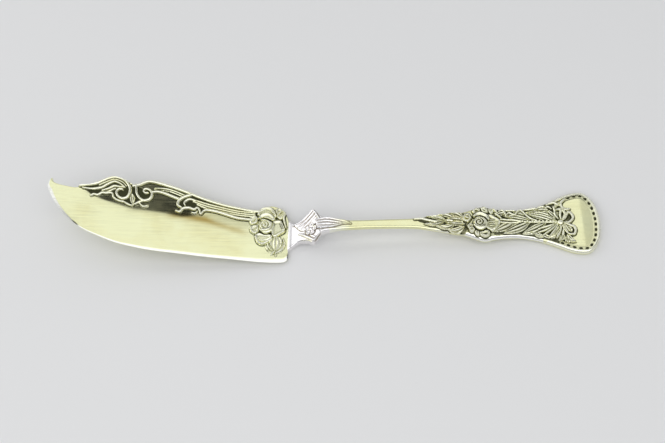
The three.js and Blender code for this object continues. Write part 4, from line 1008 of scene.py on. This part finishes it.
for root, bend, tip, width in (
    ((13, -1.2), (14, -2.8), (15.8, -5), 1.2), ((13.8, 5.2), (13.2, 6.2), (11.9, 6.9), 1.2),
    ((11, -4.6), (10.2, -6.2), (8.4, -7.4), 1.9), ((13, -4.8), (13, -5.8), (14, -6.8), 1.3),
):
    bow.leaf([root, bend, tip], width, 0.85, streaks=2)
for root, bend, tip, width in (
    ((13.2, -2.2), (14.2, -3.4), (15.2, -5), 1.7), ((14.5, -4.7), (15.5, -5.3), (17, -5.3), 1.2),
    ((12.1, -4.8), (12.6, -5.9), (13.5, -6.5), 1.4), ((11.3, -5.6), (10.9, -6.7), (10.5, -7.6), 1.3),
    ((10.4, -1.6), (9.6, -2.6), (9.4, -3.8), 1.2),
):
    bow.leaf([root, bend, tip], width, 0.75, streaks=1)
bow.boss((12.5, -0.1), 1.05, 1.15)

# Rim and row of dots round the handle's end; the dots are painted dark as tarnish and as the shade in
# their dents
RIM_WIDTH, RIM_HEIGHT, RIM_STRIDE = 2.0, 0.1, 4
NEAR_RIM_END, FAR_RIM_END = 17, 14
DOT_INSET, DOT_PITCH, DOT_LENGTH, DOT_WIDTH, DOT_STRIDE = 1.4, 1.85, 1.4, 1.0, 6
border = Relief((0, -11.2), (18.5, 11.2), DARK_WEAR, base_wear=0.95, fade=1.4)
near_side = (handle_rail * (1, -1))[handle_rail[:, 0] < NEAR_RIM_END]
far_side = handle_rail[handle_rail[:, 0] < FAR_RIM_END]
end_outline = np.vstack([near_side[::-1], far_side])
border.rim(end_outline[::RIM_STRIDE], RIM_WIDTH, RIM_HEIGHT)
dots = spline((end_outline - DOT_INSET * normals(end_outline, 1))[::DOT_STRIDE], step=DOT_PITCH)
for before, dot, after in zip(dots, dots[1:], dots[2:]):
    border.pit(dot, after - before, DOT_LENGTH, DOT_WIDTH)

# The handle, the bolster and the blade, darkened round the relief that stands on them by painted shade and
# tarnish
ON_BLADE = [plume, heel_rose, heel_bud]
ON_BODY = [neck, spray, grip_rose, fern, bow, border]
HANDLE_ROWS, BOLSTER_ROWS, BLADE_ROWS = 44, 40, 84
BEVEL_STATIONS = (100.8, 112, 125, 148, 160, 168, 171, 178, 180)
BEVEL_WIDTHS = (1.6, 1.35, 1.05, 0.9, 0.5, 0.3, 0.4, 1.2, 1.5)
BEVEL_SLOPES = (0.29, 0.29, 0.29, 0.29, 0.29, 0.29, 0.05, 0.05, 0.05)
BEVEL_DEEPEST, BEVEL_WIDEST = 0.4, 0.35
BACK_ROUND, BLADE_UNDER_ROUND, WIDEST_ROUND = 0.3, 0.15, 0.2
BLADE_CREASE = math.radians(8)


def body_rims(rail):
    """The rims of a rail pair on the handle or the bolster: near, far, and the two below."""
    stations = rail[:, 0]
    radii = [rounding(stations, near) for near in (True, False)]
    return [(radius, radius, ROUND) for radius in radii] + [(*under_rounding(stations), ROUND)] * 2


def shifted(rail, way):
    """A rail of half widths laid out on the near side, -1, or the far side, 1."""
    return np.column_stack([rail[:, 0], way * rail[:, 1] + neck_middle(rail[:, 0])])


def build_handle():
    near, far = shifted(handle_rail, -1), shifted(handle_rail, 1)
    stations = handle_rail[:, 0]
    seam_wear = mix(NEUTRAL_WEAR, SEAM_WEAR, smooth(SEAM_FADE_AT, BOLSTER_AT, stations))
    # The near rim is painted bright as a highlight, fading out over the grip
    rim_highlight_and_wear = mix(NEAR_RIM_HIGHLIGHT, NEUTRAL_WEAR, smooth(*BRIGHT_RIM_ENDS, stations))
    loft("handle_body", "handle", "polished_silver", [near, far], [normals(near, 1), normals(far, -1)],
         body_face, body_under, body_rims(handle_rail), HANDLE_ROWS, ON_BODY,
         np.maximum(rim_highlight_and_wear, seam_wear), seam_wear)


def build_bolster():
    near, far = shifted(bolster_rail, -1), shifted(bolster_rail, 1)
    across = far - near
    across /= np.linalg.norm(across, axis=1)[:, None]
    wear_and_painted_light = np.full(len(bolster_rail), NEUTRAL_WEAR)
    loft("bolster_body", "neck_bolster", "pale_silver", [near, far], [across, -across],
         body_face, body_under, body_rims(bolster_rail), BOLSTER_ROWS, ON_BODY, wear_and_painted_light, wear_and_painted_light)


def build_blade():
    stations = edge_rail[:, 0]
    across = back_rail - edge_rail
    width = np.linalg.norm(across, axis=1)
    across /= width[:, None]
    bevel = np.minimum(np.interp(stations, BEVEL_STATIONS, BEVEL_WIDTHS), BEVEL_WIDEST * width)
    facing = np.abs(np.sum(across * normals(edge_rail, 1), axis=1))
    slope = np.interp(stations, BEVEL_STATIONS, BEVEL_SLOPES)
    depth = np.minimum(slope * bevel * facing, BEVEL_DEEPEST)
    back_round = np.minimum(BACK_ROUND, WIDEST_ROUND * width)
    under_round = np.minimum(BLADE_UNDER_ROUND, WIDEST_ROUND * width)
    upper_rims = [(bevel, depth, BEVELLED), (back_round, back_round, ROUND)]
    lower_rims = [(under_round, under_round, ROUND)] * 2
    # The edge's bevel is painted bright as a highlight
    loft("blade_body", "blade", "polished_silver", [edge_rail, back_rail], [across, -across],
         blade_face, blade_under, upper_rims + lower_rims, BLADE_ROWS, ON_BLADE,
         np.full(len(edge_rail), NEAR_RIM_HIGHLIGHT), np.full(len(edge_rail), NEUTRAL_WEAR), BLADE_CREASE)


build_handle()
build_bolster()
build_blade()

# The cast relief
OUTLINE_STRIDE = 3
blade_outline = np.vstack([edge_rail, back_rail[::-1]])[::OUTLINE_STRIDE]
body_outline = np.vstack([shifted(body_rail, -1), shifted(body_rail, 1)[::-1]])[::OUTLINE_STRIDE]
for name, relief, node in (
    ("plume_relief", plume, "plume_scroll"),
    ("reed_relief", reeds, "spine_reeds"),
    ("heel_rose_relief", heel_rose, "heel_rose"),
    ("heel_bud_relief", heel_bud, "heel_leaf_bud"),
):
    cast(name, relief, blade_face, blade_outline, node, "cast_silver")
cast("neck_relief", neck, body_bed, body_outline, "neck_leaf", "pale_silver")
for name, relief, node in (
    ("spray_relief", spray, "shank_leaf_spray"),
    ("grip_rose_relief", grip_rose, "grip_rose"),
    ("fern_relief", fern, "grip_fern"),
    ("bow_relief", bow, "ribbon_bow"),
    ("border_relief", border, "bead_border"),
):
    cast(name, relief, body_bed, body_outline, node, "cast_silver")

# Floor
FLOOR_SIZE = 40.0
FLOOR_COLOUR, FLOOR_ROUGHNESS = (0.80, 0.80, 0.80), 0.9
bpy.ops.mesh.primitive_plane_add(size=FLOOR_SIZE, location=(0, 0, 0))
floor = bpy.context.object
floor.name = "floor"
paper = bpy.data.materials.new("floor_paper")
paper.use_nodes = True
paper_shader = paper.node_tree.nodes["Principled BSDF"].inputs
feed(paper_shader["Base Color"], FLOOR_COLOUR)
feed(paper_shader["Roughness"], FLOOR_ROUGHNESS)
floor.data.materials.append(paper)


# Light: a key box beyond the knife, a fill box by the camera, a strip above and a box off the point
def softbox(name, at, aim, size, power, colour):
    light = bpy.data.lights.new(name, "AREA")
    light.shape = "RECTANGLE"
    light.size, light.size_y = size
    light.energy = power
    light.color = colour
    lamp = bpy.data.objects.new(name, light)
    lamp.location = at
    lamp.rotation_mode = "QUATERNION"
    lamp.rotation_quaternion = (Vector(aim) - Vector(at)).to_track_quat("-Z", "Y")
    bpy.context.scene.collection.objects.link(lamp)


softbox("key_box", (-0.565, 0.405, 0.69), (-0.565, 0, 0), (1.67, 0.24), 0.50, (1, 1, 0.97))
softbox("fill_box", (0.05, -0.493, 0.63), (0, 0, 0), (1.3, 0.43), 1.8, (1, 0.99, 1))
softbox("top_strip", (0.0, -0.12, 0.8), (0, -0.1, 0), (1.6, 0.38), 1.0, (1, 1, 1))
softbox("side_box", (-0.75, 0.15, 0.36), (0, 0, 0), (0.7, 0.55), 1.25, (1, 0.99, 1))

# World: a soft white sky, with a narrow dark gap above the key box and a dark horizon
SKY_COLOUR = (0.60, 0.61, 0.62)
GAP_AT, GAP_HALF, GAP_SOFT, GAP_LEVEL = 0.245, 0.09, 0.04, 0.04
GAP_HEIGHTS = (0.55, 0.8)
HORIZON_HEIGHTS, HORIZON_LEVEL = (0.04, 0.3), 0.2
world = bpy.data.worlds.new("studio")
bpy.context.scene.world = world
world.use_nodes = True
sky = world.node_tree
direction = add_node(sky, "SeparateXYZ", {0: add_node(sky, "TexCoord")["Generated"]})
off_gap = math_node("ABSOLUTE", math_node("ADD", direction["Y"], -GAP_AT))
gap_edge = (GAP_HALF, GAP_HALF + GAP_SOFT)
beside_gap = ranged(off_gap, gap_edge, GAP_LEVEL, 1.0, "SMOOTHSTEP")
below_gap = ranged(direction["Z"], GAP_HEIGHTS, 1.0, 0.0, "SMOOTHSTEP")
horizon = ranged(direction["Z"], HORIZON_HEIGHTS, HORIZON_LEVEL, 1.0, "SMOOTHSTEP")
open_sky = math_node("MAXIMUM", beside_gap, below_gap)
background = sky.nodes["Background"].inputs
feed(background["Strength"], math_node("MULTIPLY", open_sky, horizon))
feed(background["Color"], SKY_COLOUR)

# Camera, as the photograph was taken
CAMERA_AT = (0.03073, -0.15035, 0.26873)
CAMERA_TURNS = (29.295, 5.6519, 0.0953)
CAMERA_LENS, CAMERA_SENSOR, CAMERA_NEAREST = 50.35, 36.0, 0.01
camera_data = bpy.data.cameras.new("camera")
camera_data.sensor_width = CAMERA_SENSOR
camera_data.lens = CAMERA_LENS
camera_data.clip_start = CAMERA_NEAREST
camera = bpy.data.objects.new("camera", camera_data)
camera.location = CAMERA_AT
camera.rotation_euler = [math.radians(turn) for turn in CAMERA_TURNS]
bpy.context.scene.collection.objects.link(camera)
bpy.context.scene.camera = camera
bpy.context.scene.view_settings.view_transform = "Standard"

bpy.context.view_layer.update()
